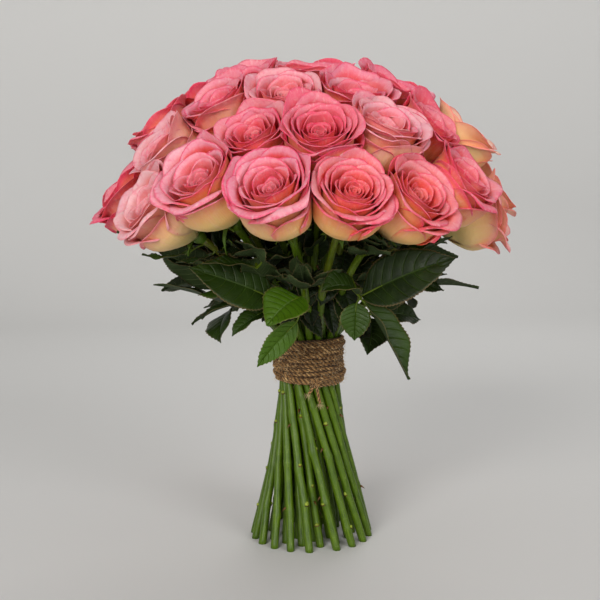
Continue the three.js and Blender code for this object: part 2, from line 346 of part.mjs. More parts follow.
function leafGeometry(leaf) {
  const joint = vec(leaf.joint), root = vec(leaf.root);
  let solid = null;
  const join = (s) => (solid = solid ? solid.add(s) : s);
  for (const l of leaf.leaflets) {
    join(leafletSolid(l, joint));
  }
  const stalk = joint.clone().sub(root);
  if (stalk.length() > 1.5) {
    const past = joint.clone().addScaledVector(stalk.normalize(), 1);
    join(toSolid(rod([root, past], LEAF_STALK_RADIUS, 4)));
  }
  const bead = new THREE.OctahedronGeometry(LEAF_STALK_RADIUS * 1.4, 0);
  bead.translate(...leaf.joint);
  join(toSolid(bead));
  return toGeometry(solid);
}

// ---- the twine: turns laid side by side round the waist of the stems -----------------
function twineGeometry() {
  const profile = [
    [TIE_INNER_RADIUS, TIE_BOTTOM], [TIE_OUTER_RADIUS - TIE_BULGE, TIE_BOTTOM],
    [TIE_OUTER_RADIUS, TIE_BOTTOM + 8], [TIE_OUTER_RADIUS, TIE_TOP - 8],
    [TIE_OUTER_RADIUS - TIE_BULGE, TIE_TOP], [TIE_INNER_RADIUS, TIE_TOP],
    [TIE_INNER_RADIUS, TIE_BOTTOM],
  ].map(([r, z]) => new THREE.Vector2(r, z));
  const g = new THREE.LatheGeometry(profile, TIE_SIDES);
  g.rotateX(Math.PI / 2);
  return g;
}

// ---- the knot, low on the front, with its two short tails -------------------------------
function knotGeometry() {
  const knot = new THREE.SphereGeometry(1, 9, 6);
  knot.scale(6.2, 3.1, 4.4);
  knot.translate(5.2, -(TIE_OUTER_RADIUS + KNOT_GAP + 3.1), 143);
  const y = -(TIE_OUTER_RADIUS + KNOT_GAP + 2.4);
  const tail = (p) => toSolid(rod(p.map(vec), TAIL_RADIUS, 6));
  return toGeometry(
    toSolid(knot)
      .add(tail([[5.5, y, 143], [6.6, y - 0.6, 136], [7.8, y - 0.9, 130], [8.2, y - 0.4, 124.5]]))
      .add(tail([[5.0, y, 143], [1.4, y - 0.6, 138], [-0.6, y - 0.7, 134]])),
  );
}

// ---- the assembly ------------------------------------------------------------------------
const bunch = new THREE.Group();
const two = (i) => String(i + 1).padStart(2, "0");

ROSES.forEach((rose, i) => {
  const mesh = new THREE.Mesh(roseGeometry(rose), rosePink);
  mesh.name = `rose_${two(i)}`;
  bunch.add(mesh);
});
LEAVES.forEach((leaf, i) => {
  const mesh = new THREE.Mesh(leafGeometry(leaf), leafGreen);
  mesh.name = `leaf_${two(i)}`;
  bunch.add(mesh);
});
const twine = new THREE.Mesh(twineGeometry(), juteTan);
twine.name = "twine_wrap";
bunch.add(twine);
const knot = new THREE.Mesh(knotGeometry(), juteTan);
knot.name = "twine_knot";
bunch.add(knot);

// centre the bunch over the origin
const box = new THREE.Box3().setFromObject(bunch, true);
bunch.position.set(-(box.min.x + box.max.x) / 2, -(box.min.y + box.max.y) / 2, -box.min.z);

export default bunch;
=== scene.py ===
import math
import bpy
import numpy as np
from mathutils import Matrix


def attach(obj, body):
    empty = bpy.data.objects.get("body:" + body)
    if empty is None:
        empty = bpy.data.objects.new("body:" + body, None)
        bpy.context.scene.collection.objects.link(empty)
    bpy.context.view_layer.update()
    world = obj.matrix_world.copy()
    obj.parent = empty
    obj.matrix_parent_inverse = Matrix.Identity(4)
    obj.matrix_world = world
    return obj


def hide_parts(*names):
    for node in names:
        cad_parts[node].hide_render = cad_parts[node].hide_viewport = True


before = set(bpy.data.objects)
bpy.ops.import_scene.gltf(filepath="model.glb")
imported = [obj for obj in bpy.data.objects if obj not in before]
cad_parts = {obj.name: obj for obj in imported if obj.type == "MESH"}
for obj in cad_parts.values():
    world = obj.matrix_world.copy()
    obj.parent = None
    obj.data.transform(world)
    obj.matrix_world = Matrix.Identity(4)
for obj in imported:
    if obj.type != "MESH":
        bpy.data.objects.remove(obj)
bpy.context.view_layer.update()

MM = 0.001
SHIFT = np.array([-0.584488, 2.08437, 0])

# hip: foot of the bloom, axis: where it faces, size: scale, stem: centre line
ROSES = [
    {"hip": [-12.73,-118.64,269.27], "axis": [-0.2501,-0.6872,0.682], "size": 1.05, "stem": [[50.5,-10.1,0],[16.2,-19,123.7],[9.8,-20.9,146.3],[2.4,-23.2,171.8],[0.8,-23.6,178],[0.2,-23.6,181],[-0.1,-27,184.1],[-0.6,-36.7,193.2],[-1.5,-49,205.1],[-3.1,-64.1,219.8],[-4.6,-76.5,231.3],[-6.4,-89.1,242.5],[-8.1,-98.3,250.8],[-11.9,-116.1,266.8],[-12.7,-118.6,269.3]]},
    {"hip": [20.99,-122,270.61], "axis": [0.1853,-0.7433,0.6428], "size": 0.95, "stem": [[51.3,6.2,0],[20.2,-13.8,128.5],[17.9,-15.3,137.7],[10.6,-21,168.1],[9,-21.8,174.2],[7.4,-22.4,180.2],[8.1,-27.2,183.3],[8.6,-31.1,186.6],[8.9,-34.4,189.9],[9.6,-46.1,202.8],[10,-52.1,209.1],[10.9,-61.2,218.2],[11.9,-70.8,227],[13.3,-80.5,235.7],[15.4,-93.7,246.9],[18.4,-109.7,260.3],[21,-122,270.6]]},
    {"hip": [51.06,-105.9,268.97], "axis": [0.562,-0.582,0.5878], "size": 1, "stem": [[40.1,32.5,0],[25,0.3,123.7],[23.3,-3.5,137.7],[22.4,-6.1,146.3],[21.1,-9.8,158.2],[19.5,-13.3,168.7],[18.9,-14.1,172.1],[17.9,-15.3,178.7],[17.8,-16.3,182],[19.5,-19.5,185.2],[20.6,-22.7,188.3],[21.1,-25.7,191.3],[22.6,-37.6,203.3],[24.1,-46.5,212.3],[25.5,-52.4,218.3],[27.1,-58.3,224.2],[30.1,-67.3,232.8],[33.7,-76.2,241.1],[36.4,-82,246.5],[39.3,-87.6,251.8],[44,-95.8,259.4],[49,-103.7,266.8],[51.1,-105.9,269]]},
    {"hip": [85.55,-80.23,276.48], "axis": [0.6562,-0.3489,0.6691], "size": 0.98, "stem": [[24,33,0],[19.6,8.6,109.2],[18.9,4.2,128.6],[18.6,1,142.4],[18.7,-2.1,155.2],[19,-4.2,163.1],[19.8,-6.4,170.6],[21,-8.5,177.7],[21.5,-9.7,181],[22.8,-11.5,184.3],[25.2,-15.7,190.4],[28.9,-22.7,199.4],[31.8,-27.4,205.6],[36.9,-34.6,214.9],[40.7,-39.4,221.1],[44.8,-44.3,227.2],[49.1,-49.1,233.4],[53.7,-53.8,239.4],[58.4,-58.4,245.4],[63.1,-62.9,251.3],[68,-67.1,257.1],[75.5,-73.1,265.6],[83,-78.8,273.9],[85.5,-80.2,276.5]]},
    {"hip": [-54.96,-103.59,277.3], "axis": [-0.4575,-0.5856,0.6691], "size": 1.04, "stem": [[44.9,-25.4,0],[9.4,-23.2,123.8],[5.3,-23,137.7],[-4.1,-23.2,168.8],[-5.7,-22.9,175.1],[-6.9,-22.6,181.6],[-8.9,-27.3,185],[-10.6,-30.8,188.4],[-12.1,-33.4,191.9],[-16.1,-39.9,201.9],[-20.2,-46.8,211.7],[-24.4,-54.1,221.2],[-30.4,-64.5,233.8],[-35.1,-72.5,243.1],[-41.6,-83.2,255],[-49.9,-96.2,269.2],[-53.2,-101.3,274.8],[-55,-103.6,277.3]]},
    {"hip": [-83.17,-81.12,267.57], "axis": [-0.7488,-0.3981,0.5299], "size": 1, "stem": [[34.8,-38.2,0],[8.3,-27.6,99.3],[-2,-23.5,137.6],[-10.9,-20.8,168.7],[-12.4,-20.1,175.3],[-13.3,-19.5,181.6],[-15.7,-22.4,184.8],[-17.9,-24.9,187.8],[-19.8,-27.1,190.9],[-27.5,-34.8,203.3],[-35.5,-42.4,215.4],[-41.8,-48.4,224.3],[-48.5,-54.5,232.9],[-55.5,-60.6,241.2],[-60.4,-64.6,246.4],[-65.3,-68.5,251.4],[-72.9,-74.2,258.7],[-80.5,-79.7,265.6],[-83.2,-81.1,267.6]]},
    {"hip": [-22.17,-91.01,308.56], "axis": [-0.3346,-0.5795,0.7431], "size": 0.95, "stem": [[32.1,-15.6,0],[8.5,-15.6,119],[3.7,-15.7,142.7],[-0.9,-16,164.2],[-2.3,-16.1,172.3],[-2.7,-16.3,176.4],[-2.9,-16.7,180.5],[-3,-17.5,184.5],[-3.2,-18.9,188.4],[-3.5,-20.7,192.3],[-4.7,-26.7,203.9],[-6.4,-36.9,224.1],[-8.1,-45.9,240.5],[-9.6,-53,252.8],[-10.7,-58,260.8],[-12,-63,268.6],[-14.3,-70.7,280.1],[-16,-75.8,287.5],[-18.8,-83.5,298.4],[-20.8,-88.6,305.4],[-22.2,-91,308.6]]},
    {"hip": [8.29,-106.85,311.34], "axis": [0.0242,-0.6942,0.7193], "size": 0.95, "stem": [[36.2,0.2,0],[13.8,-10.8,123.9],[5.3,-14.9,169.3],[4.7,-15.2,173.7],[4.2,-15.7,178],[4,-16.6,182.3],[3.9,-18.1,186.3],[3.8,-19.9,190.2],[3.8,-24.4,197.9],[4.1,-36.3,217.7],[4.4,-44,230.1],[4.8,-52.1,242.5],[5.2,-57.8,250.8],[5.8,-66.6,263],[6.6,-78.8,278.7],[7.6,-94.4,297.4],[8.2,-103.8,308.2],[8.3,-106.8,311.3]]},
    {"hip": [40.86,-94.66,305.46], "axis": [0.3443,-0.4407,0.829], "size": 1.02, "stem": [[38.7,16.4,0],[18.9,-6.3,128.7],[11.7,-14.5,172.4],[11.2,-15.3,176.4],[10.9,-16.3,180.3],[11,-17.8,184.2],[11.3,-19.6,188],[11.8,-21.7,191.7],[17.6,-43.5,225.3],[20,-51.1,237],[21.8,-56.2,244.9],[25.9,-66.5,260.5],[30.5,-76.5,275.9],[36.8,-88.2,294.6],[39.4,-92.8,302],[40.9,-94.7,305.5]]},
    {"hip": [64.31,-60.38,318.48], "axis": [0.6351,-0.3377,0.6947], "size": 0.95, "stem": [[22.5,16.7,0],[14.2,0.9,114.2],[12.1,-3.6,147.5],[11.6,-5.5,160.9],[11.7,-6.8,169.5],[12,-8.4,177.9],[12.7,-10.5,186.2],[13.7,-13.1,194.5],[15,-15.7,203],[16.6,-18.5,211.6],[18.6,-21.4,220.4],[20.9,-24.4,229.3],[23.5,-27.5,238.2],[26.4,-30.7,247.1],[29.6,-34,255.9],[33.1,-37.4,264.5],[36.9,-40.7,273],[40.9,-44.1,281.2],[45.2,-47.4,289.2],[49.7,-50.8,296.9],[56.8,-55.6,308.1],[61.6,-58.9,315.4],[64.3,-60.4,318.5]]},
    {"hip": [-45.83,-54.57,331.23], "axis": [-0.4632,-0.3619,0.809], "size": 0.98, "stem": [[16,-15,0],[3.3,-11,109.2],[-1.3,-9.8,147.8],[-4,-9.5,170.1],[-5,-10,178.8],[-5.6,-10.5,183.1],[-6.8,-11.9,191.8],[-9,-14.5,205],[-12.3,-18.5,223.4],[-14.1,-20.8,232.8],[-16.1,-23.3,242.2],[-18.3,-26,251.7],[-20.6,-28.9,261.2],[-23.2,-31.9,270.6],[-25.9,-35,279.9],[-28.8,-38.2,289],[-31.9,-41.4,297.9],[-35.1,-44.7,306.5],[-40.3,-49.6,319.2],[-43.8,-52.9,327.6],[-45.8,-54.6,331.2]]},
    {"hip": [-74.18,-59.13,307.74], "axis": [-0.7306,-0.2952,0.6157], "size": 1, "stem": [[21,-30.2,0],[-0.2,-18.3,119],[-7.1,-14.9,156],[-10.3,-13.1,172.4],[-11.1,-12.8,176.5],[-12,-12.7,180.6],[-12.9,-13.1,184.6],[-14,-13.9,188.7],[-15.1,-15.1,192.8],[-20,-20.5,209.2],[-24.2,-24.7,221.7],[-27.2,-27.5,230],[-30.6,-30.4,238.4],[-34.1,-33.4,246.7],[-37.9,-36.5,254.9],[-42,-39.6,262.8],[-46.3,-42.7,270.6],[-53.3,-47.4,281.6],[-58.2,-50.5,288.6],[-65.9,-54.9,298.6],[-71.2,-57.9,305.1],[-74.2,-59.1,307.7]]},
    {"hip": [-16.02,-58.87,338.96], "axis": [-0.0205,-0.5874,0.809], "size": 0.9, "stem": [[19.9,0.7,0],[6.8,-6.2,133.7],[3,-8.2,170.8],[2.5,-8.6,175.3],[1.5,-9.7,184.2],[-2.1,-14,211.7],[-4.8,-17.8,231.1],[-6.7,-21.2,246],[-8,-23.8,256],[-9.2,-26.7,265.9],[-10.9,-31.5,280.6],[-12.5,-36.9,295],[-13.8,-42.9,308.8],[-14.9,-49.4,322.2],[-15.9,-56.2,335.2],[-16,-58.9,339]]},
    {"hip": [29.65,-54.44,329.73], "axis": [0.1642,-0.4065,0.8988], "size": 1.02, "stem": [[6.5,9.9,0],[5.5,2.1,119.1],[5.5,0.2,147.5],[5.6,-0.5,156.5],[5.8,-1.3,165.2],[6.2,-2.5,173.8],[6.7,-4.1,182.2],[7.7,-6.9,195],[8.6,-9,203.7],[9.7,-11.4,212.5],[12.2,-16.7,230.6],[15.1,-22.7,249.1],[18.3,-29.3,267.7],[21.6,-36.3,286.1],[25.7,-45.3,308.4],[29.6,-54.4,329.7]]},
    {"hip": [-40.63,-12.36,347.79], "axis": [-0.171,-0.2962,0.9397], "size": 0.98, "stem": [[1.8,-22.9,0],[-5.9,-9.8,119.1],[-8.5,-5.7,157.2],[-9.7,-4.3,170.8],[-10.7,-3.6,179.7],[-12.6,-2.5,193.4],[-14.7,-1.7,207.5],[-17.9,-1,227.2],[-21.5,-0.8,247.5],[-25.4,-1.3,268.2],[-28.3,-2.2,283.8],[-31.3,-3.7,299.1],[-34.2,-5.8,314.1],[-37,-8.2,328.8],[-39.8,-11,343.4],[-40.6,-12.4,347.8]]},
    {"hip": [52.37,-18.67,338.2], "axis": [0.3796,-0.2192,0.8988], "size": 1, "stem": [[9.3,26.1,0],[11.1,9.4,109.2],[11.8,4.2,143.1],[12.4,1.6,161.2],[13.1,-0.4,174.2],[13.7,-1.6,182.9],[14.2,-2,187.3],[16.8,-3.3,205.4],[19.2,-4.3,219.5],[21.1,-5,229.1],[25.2,-6.7,248.6],[30,-8.5,268.3],[35.4,-10.7,287.8],[39.8,-12.6,302.1],[42.8,-13.9,311.4],[47.5,-16.2,325.1],[50.7,-17.7,334.1],[52.4,-18.7,338.2]]},
    {"hip": [-113.99,-28.98,270.09], "axis": [-0.7166,-0.1822,0.6732], "size": 0.98, "stem": [[21,-47,0],[-5,-25.1,118.9],[-12.3,-19.3,150.5],[-15.2,-17.4,162.1],[-17.5,-15.8,172.5],[-18.8,-14.3,179],[-21.8,-15,182.1],[-24.6,-15.4,185.1],[-44.4,-16.9,205.7],[-53.2,-17.8,214.5],[-62.2,-19,223.3],[-71.5,-20.5,232],[-84,-22.7,243.3],[-99.4,-25.7,256.9],[-114,-29,270.1]]},
    {"hip": [99.96,-35.14,272.94], "axis": [0.9467,-0.1669,0.2756], "size": 1, "stem": [[18.4,48.2,0],[21.4,12.8,123.8],[22.3,6.2,146.6],[23.2,1.7,162.7],[23.5,-0.2,170.1],[23.4,-2.6,180.8],[27.1,-4.8,187.7],[37.6,-11.8,208.2],[43.3,-15.3,218.5],[47.5,-17.5,225.3],[52,-19.7,231.8],[56.8,-21.8,238.1],[59.3,-22.8,241.2],[64.5,-24.9,247],[67.2,-25.9,249.7],[72.8,-27.8,254.9],[78.5,-29.6,259.6],[87.5,-32.1,266],[96.7,-34.5,271.9],[100,-35.1,272.9]]},
    {"hip": [116.24,10.41,269.26], "axis": [0.7365,0.0659,0.6732], "size": 1, "stem": [[2.4,51.6,0],[18,15.2,137.6],[22.3,7.6,168],[22.8,6,174.2],[23.1,4.6,180.3],[27.4,4.8,183.4],[30.9,5,186.5],[34,5,189.6],[53.5,5.5,211],[59.2,5.8,216.9],[68.1,6.3,225.7],[77.2,6.9,234.3],[86.5,7.7,242.8],[116.2,10.4,269.3]]},
    {"hip": [102.57,58.5,270.51], "axis": [0.6423,0.3663,0.6732], "size": 0.97, "stem": [[-30,42.1,0],[2.5,24.4,128.4],[4.8,23.1,137.6],[7.2,22.1,146.3],[13.5,19.2,168.4],[14.4,18.7,171.6],[16.3,17.1,180.9],[19.8,19.4,184],[23,21,187.1],[25.9,22.3,190.2],[44.7,29.8,211.6],[52.9,33.4,220.6],[61.4,37.2,229.3],[69.9,41.4,238],[78.3,45.6,246.4],[92.1,52.8,260],[102.6,58.5,270.5]]},
    {"hip": [69.06,92.36,268.01], "axis": [0.4428,0.5922,0.6732], "size": 1.03, "stem": [[-33.6,26.2,0],[-8.3,20.8,109.2],[-1.6,19.6,137.7],[1.5,19.4,150.5],[4.5,19.6,161.9],[7.3,20.2,171.9],[10.3,21.2,181.2],[17.7,29.1,193.2],[23.2,35.2,202],[28.9,41.6,210.7],[34.7,48.5,219.3],[40.6,55.7,227.9],[46.5,63.1,236.3],[58.2,78,252.5],[69.1,92.4,268]]},
    {"hip": [29.12,113.96,270.09], "axis": [0.1831,0.7164,0.6732], "size": 0.98, "stem": [[-48.1,18.9,0],[-8.6,22,137.6],[0.9,23.5,171.9],[3.4,23.4,181.2],[4.6,26.9,184.2],[6.5,33.1,190.2],[13.4,55.2,214.4],[15.1,60.9,220.3],[17.6,69.7,229.1],[21.7,84.7,243.4],[29.1,114,270.1]]},
    {"hip": [-16.23,114.64,268.42], "axis": [-0.1036,0.7321,0.6732], "size": 1.02, "stem": [[-51.5,3,0],[-21.3,15.5,114.1],[-15,18.2,137.6],[-10.7,20.4,154.3],[-7.5,22.2,168.5],[-6.3,22.7,174.9],[-5.4,23,181],[-5.8,26.5,184],[-6.2,32.8,190],[-6.6,41.4,198.9],[-7.2,49.9,207.8],[-8.1,58.5,216.5],[-9.2,67.3,225.2],[-10.4,76.3,233.8],[-11.8,85.4,242.1],[-16.2,114.6,268.4]]},
    {"hip": [-61.54,100.78,270.51], "axis": [-0.3853,0.6311,0.6732], "size": 0.97, "stem": [[-49.9,-13.2,0],[-24,9.1,118.9],[-19.9,12.7,137.6],[-15.8,17,158],[-14.5,18.4,165],[-13.4,19.4,171.4],[-12.4,20.1,177.5],[-12,20.3,180.6],[-13.8,23.9,183.7],[-15.4,26.9,186.8],[-16.9,29.7,189.9],[-27.1,46.9,211.6],[-30.1,51.9,217.6],[-35,59.5,226.5],[-43.4,72.7,240.9],[-61.5,100.8,270.5]]},
    {"hip": [-98.42,62.72,269.26], "axis": [-0.6236,0.3974,0.6732], "size": 1, "stem": [[-32.4,-40.1,0],[-25.9,-12.4,99.3],[-23.5,-1.6,137.7],[-22.3,7.2,169],[-21.9,8.8,175.4],[-21.4,10,181.6],[-24.3,12,184.6],[-29.4,15.7,190.5],[-36.5,21.1,199.3],[-48,29.6,214.1],[-60.3,38.1,228.6],[-73.2,46.6,242.8],[-98.4,62.7,269.3]]},
    {"hip": [-116.4,16.92,270.09], "axis": [-0.7317,0.1064,0.6732], "size": 0.98, "stem": [[-2.4,-51.5,0],[-18,-15.3,137.7],[-21.2,-9.3,162.1],[-22.6,-6.6,172.2],[-23.3,-3.9,181.6],[-27,-3.4,184.7],[-30.3,-2.7,187.8],[-42,0.8,199.7],[-53.3,4,211.5],[-62,6.3,220.4],[-71,8.4,229.1],[-80.2,10.4,237.7],[-89.5,12.2,246.1],[-104.7,15,259.7],[-116.4,16.9,270.1]]},
    {"hip": [98.39,-26.11,306.86], "axis": [0.5583,-0.1482,0.8163], "size": 1, "stem": [[-3,36.6,0],[11.9,11.6,142.8],[13.7,8.6,160.4],[14.8,6.6,172.8],[15.3,5.9,176.8],[16.2,5.1,180.8],[17.5,4.2,184.7],[19.3,3.2,188.4],[21.4,2.2,192.2],[35.5,-4,214.6],[50.5,-10,238.1],[61.1,-14,253.8],[72,-17.8,269.4],[85.4,-22.2,288.5],[96,-25.5,303.4],[98.4,-26.1,306.9]]},
    {"hip": [-94.69,-19.68,317.03], "axis": [-0.5206,-0.1082,0.8469], "size": 0.96, "stem": [[7.1,-38.4,0],[-8.2,-17.6,119],[-14.9,-8.9,168.9],[-15.5,-8.3,173.1],[-16.3,-7.9,177.3],[-17.3,-7.7,181.4],[-18.7,-7.8,185.5],[-20.4,-7.9,189.5],[-24.4,-8.1,197.4],[-35.2,-9,217.6],[-46.9,-10.5,238.7],[-54.3,-11.7,251.5],[-64.5,-13.6,268.5],[-74.8,-15.6,285.1],[-94.7,-19.7,317]]},
    {"hip": [98.88,26.29,308.13], "axis": [0.5569,0.1481,0.8173], "size": 0.98, "stem": [[-14.8,49.4,0],[8.2,24.2,119],[13,19.2,142.6],[18.4,13.9,167.8],[20.6,11.6,179.4],[24.8,11.9,187.1],[35,13.1,206.5],[41.5,14,218.4],[48.5,15,230.4],[55.8,16.3,242.6],[63.3,17.8,254.6],[73.6,20,270.5],[83.9,22.5,285.9],[98.9,26.3,308.1]]},
    {"hip": [70.81,68.42,310.66], "axis": [0.399,0.3855,0.832], "size": 1, "stem": [[-18.2,31.1,0],[6.3,14.8,147.3],[9.1,12.9,164.6],[10.2,12.1,172.8],[10.8,11.8,176.9],[11.5,11.9,180.9],[12.5,12.5,184.9],[13.9,13.5,188.8],[15.5,14.8,192.6],[26.2,24.2,215.7],[35.2,32.7,235.8],[40.8,38.1,248.1],[48.4,45.8,264.3],[70.8,68.4,310.7]]},
    {"hip": [25.4,94.68,314.6], "axis": [0.1407,0.5245,0.8397], "size": 0.96, "stem": [[-36,7.9,0],[-14.2,13.1,109.2],[-7.7,14.8,142.8],[-1.6,17,177.3],[-0.8,17.6,181.4],[0,18.7,185.4],[0.8,20.3,189.4],[2.6,24.2,197.2],[7.8,37.3,221.1],[12,49.1,241.8],[14.4,56.6,254.4],[17.5,66.8,271],[25.4,94.7,314.6]]},
    {"hip": [-25.98,93.8,310.1], "axis": [-0.1473,0.5318,0.834], "size": 1.02, "stem": [[-33.8,-14.8,0],[-19.9,1.4,104.3],[-14.9,7.5,142.8],[-12.7,10.3,160.5],[-11.4,11.9,172.9],[-11.1,12.5,177],[-10.9,13.4,181],[-10.8,14.8,184.9],[-10.9,16.6,188.8],[-11.1,18.8,192.6],[-12.3,30.6,211.6],[-14.7,45.2,235.5],[-16.7,55.4,251.7],[-19,65.9,267.8],[-22.1,78.8,287.4],[-26,93.8,310.1]]},
    {"hip": [-71.35,74.38,307.19], "axis": [-0.4025,0.4197,0.8135], "size": 0.98, "stem": [[-43.3,-28.1,0],[-28.5,-3.7,99.3],[-22.9,5.9,138],[-19.5,12.4,163.6],[-18.5,14.2,171.4],[-17.7,15.6,179.1],[-21.2,20.7,190.6],[-27.6,28.8,210.1],[-33.4,35.6,226.1],[-38.3,41,238.1],[-43.6,46.5,250.2],[-51,54,266],[-60.4,63.4,285.2],[-71.3,74.4,307.2]]},
    {"hip": [-95.55,30.77,308.62], "axis": [-0.5402,0.174,0.8233], "size": 1, "stem": [[-18.4,-48.2,0],[-21.9,-8.8,138],[-23.4,0.5,171.2],[-23.5,2.6,178.8],[-27.1,4.7,186.5],[-34.2,8.2,202.4],[-39.9,10.9,214.4],[-45.9,13.5,226.5],[-52.4,16.1,238.7],[-59.3,18.7,250.9],[-68.9,22.1,266.9],[-81.2,26.1,286.3],[-95.5,30.8,308.6]]},
    {"hip": [65.63,19.1,334.33], "axis": [0.3558,0.1036,0.9288], "size": 0.97, "stem": [[-6,20.6,0],[3.5,10,119.1],[7.3,6.1,166],[8.1,5.5,174.9],[8.7,5.4,179.2],[9.6,5.4,183.5],[12.1,5.7,191.9],[19.4,6.9,213.6],[25.9,8.3,231.9],[31,9.5,246.1],[42,12.3,274.7],[65.6,19.1,334.3]]},
    {"hip": [35.15,51.41,335.01], "axis": [0.1922,0.281,0.9403], "size": 1, "stem": [[-21.5,15.2,0],[-6.4,12.7,104.3],[-1.6,12,138.4],[0.3,11.9,152.3],[2.1,12,165.7],[3.3,12.4,174.5],[3.9,12.7,178.8],[4.7,13.2,183],[6.3,14.4,191.4],[9.8,17.5,208.9],[12.5,20.3,222.6],[16.2,24.7,241.4],[20,29.7,260.6],[23.9,35,279.7],[35.1,51.4,335]]},
    {"hip": [-6.63,61.69,337.79], "axis": [-0.0357,0.3326,0.9424], "size": 0.96, "stem": [[-23.4,-2.4,0],[-7.6,7.5,143.1],[-5.4,9.2,165.9],[-4.7,10.1,174.7],[-4.5,10.8,179.1],[-4.1,12.6,187.7],[-3.6,17.4,205.2],[-3.4,22.7,223.6],[-3.6,28.6,242.7],[-4,35,262.1],[-4.6,41.7,281.6],[-6.6,61.7,337.8]]},
    {"hip": [-48.7,47.58,332.41], "axis": [-0.2667,0.2606,0.9279], "size": 1, "stem": [[-22.8,-26.9,0],[-15.9,0.2,143],[-15.2,3.6,161.1],[-14.8,5.7,174],[-14.7,6.4,178.3],[-14.9,7.3,182.5],[-15.2,8.3,186.7],[-15.8,9.4,190.9],[-18.9,14.1,208.2],[-23.2,20.1,230.9],[-27.2,25,249.7],[-31.7,30,268.6],[-36.4,35.1,287.4],[-42.6,41.4,310.3],[-48.7,47.6,332.4]]},
    {"hip": [-67.85,8.74,333.82], "axis": [-0.3687,0.0475,0.9283], "size": 0.98, "stem": [[-8.8,-35.2,0],[-14.4,-8.8,133.6],[-15.4,-5.2,152.2],[-16.7,-1.2,174],[-17,-0.4,178.3],[-17.6,0.2,182.5],[-18.4,0.8,186.8],[-19.3,1.2,191.1],[-24.2,2.4,208.5],[-31,3.9,231.5],[-37.1,5,250.4],[-43.7,5.9,269.6],[-50.5,6.8,288.5],[-59.2,7.8,311.6],[-67.8,8.7,333.8]]},
    {"hip": [3.27,-29.04,346], "axis": [0.0176,-0.1567,0.9875], "size": 1, "stem": [[2.3,-6.6,0],[-1.6,-2.8,143.2],[-1.9,-2.5,161.5],[-1.9,-2.7,170.5],[-2,-3.1,179.3],[-1.9,-3.8,188.2],[-1.7,-5.2,201.9],[-1.3,-7,216.1],[-0.7,-9.9,235.8],[0.7,-15.8,271.3],[2.4,-24,316.9],[3.3,-29,346]]},
    {"hip": [24.14,8.73,347.04], "axis": [0.1299,0.047,0.9904], "size": 0.97, "stem": [[-9,4.7,0],[0,4.5,161.6],[1,4.5,175],[4.7,4.8,206.8],[9.9,5.5,246.2],[17.2,6.9,297.6],[24.1,8.7,347]]},
    {"hip": [-18.03,17.11,346.48], "axis": [-0.0974,0.0924,0.991], "size": 0.98, "stem": [[-12.2,-14.3,0],[-8.5,0.1,143.2],[-8.1,2.3,166],[-8.2,4.3,188.2],[-8.5,5.5,201.9],[-9.2,7,221],[-10.1,8.6,240.9],[-11.3,10.2,261.3],[-14.2,13.4,302.2],[-18,17.1,346.5]]},
]
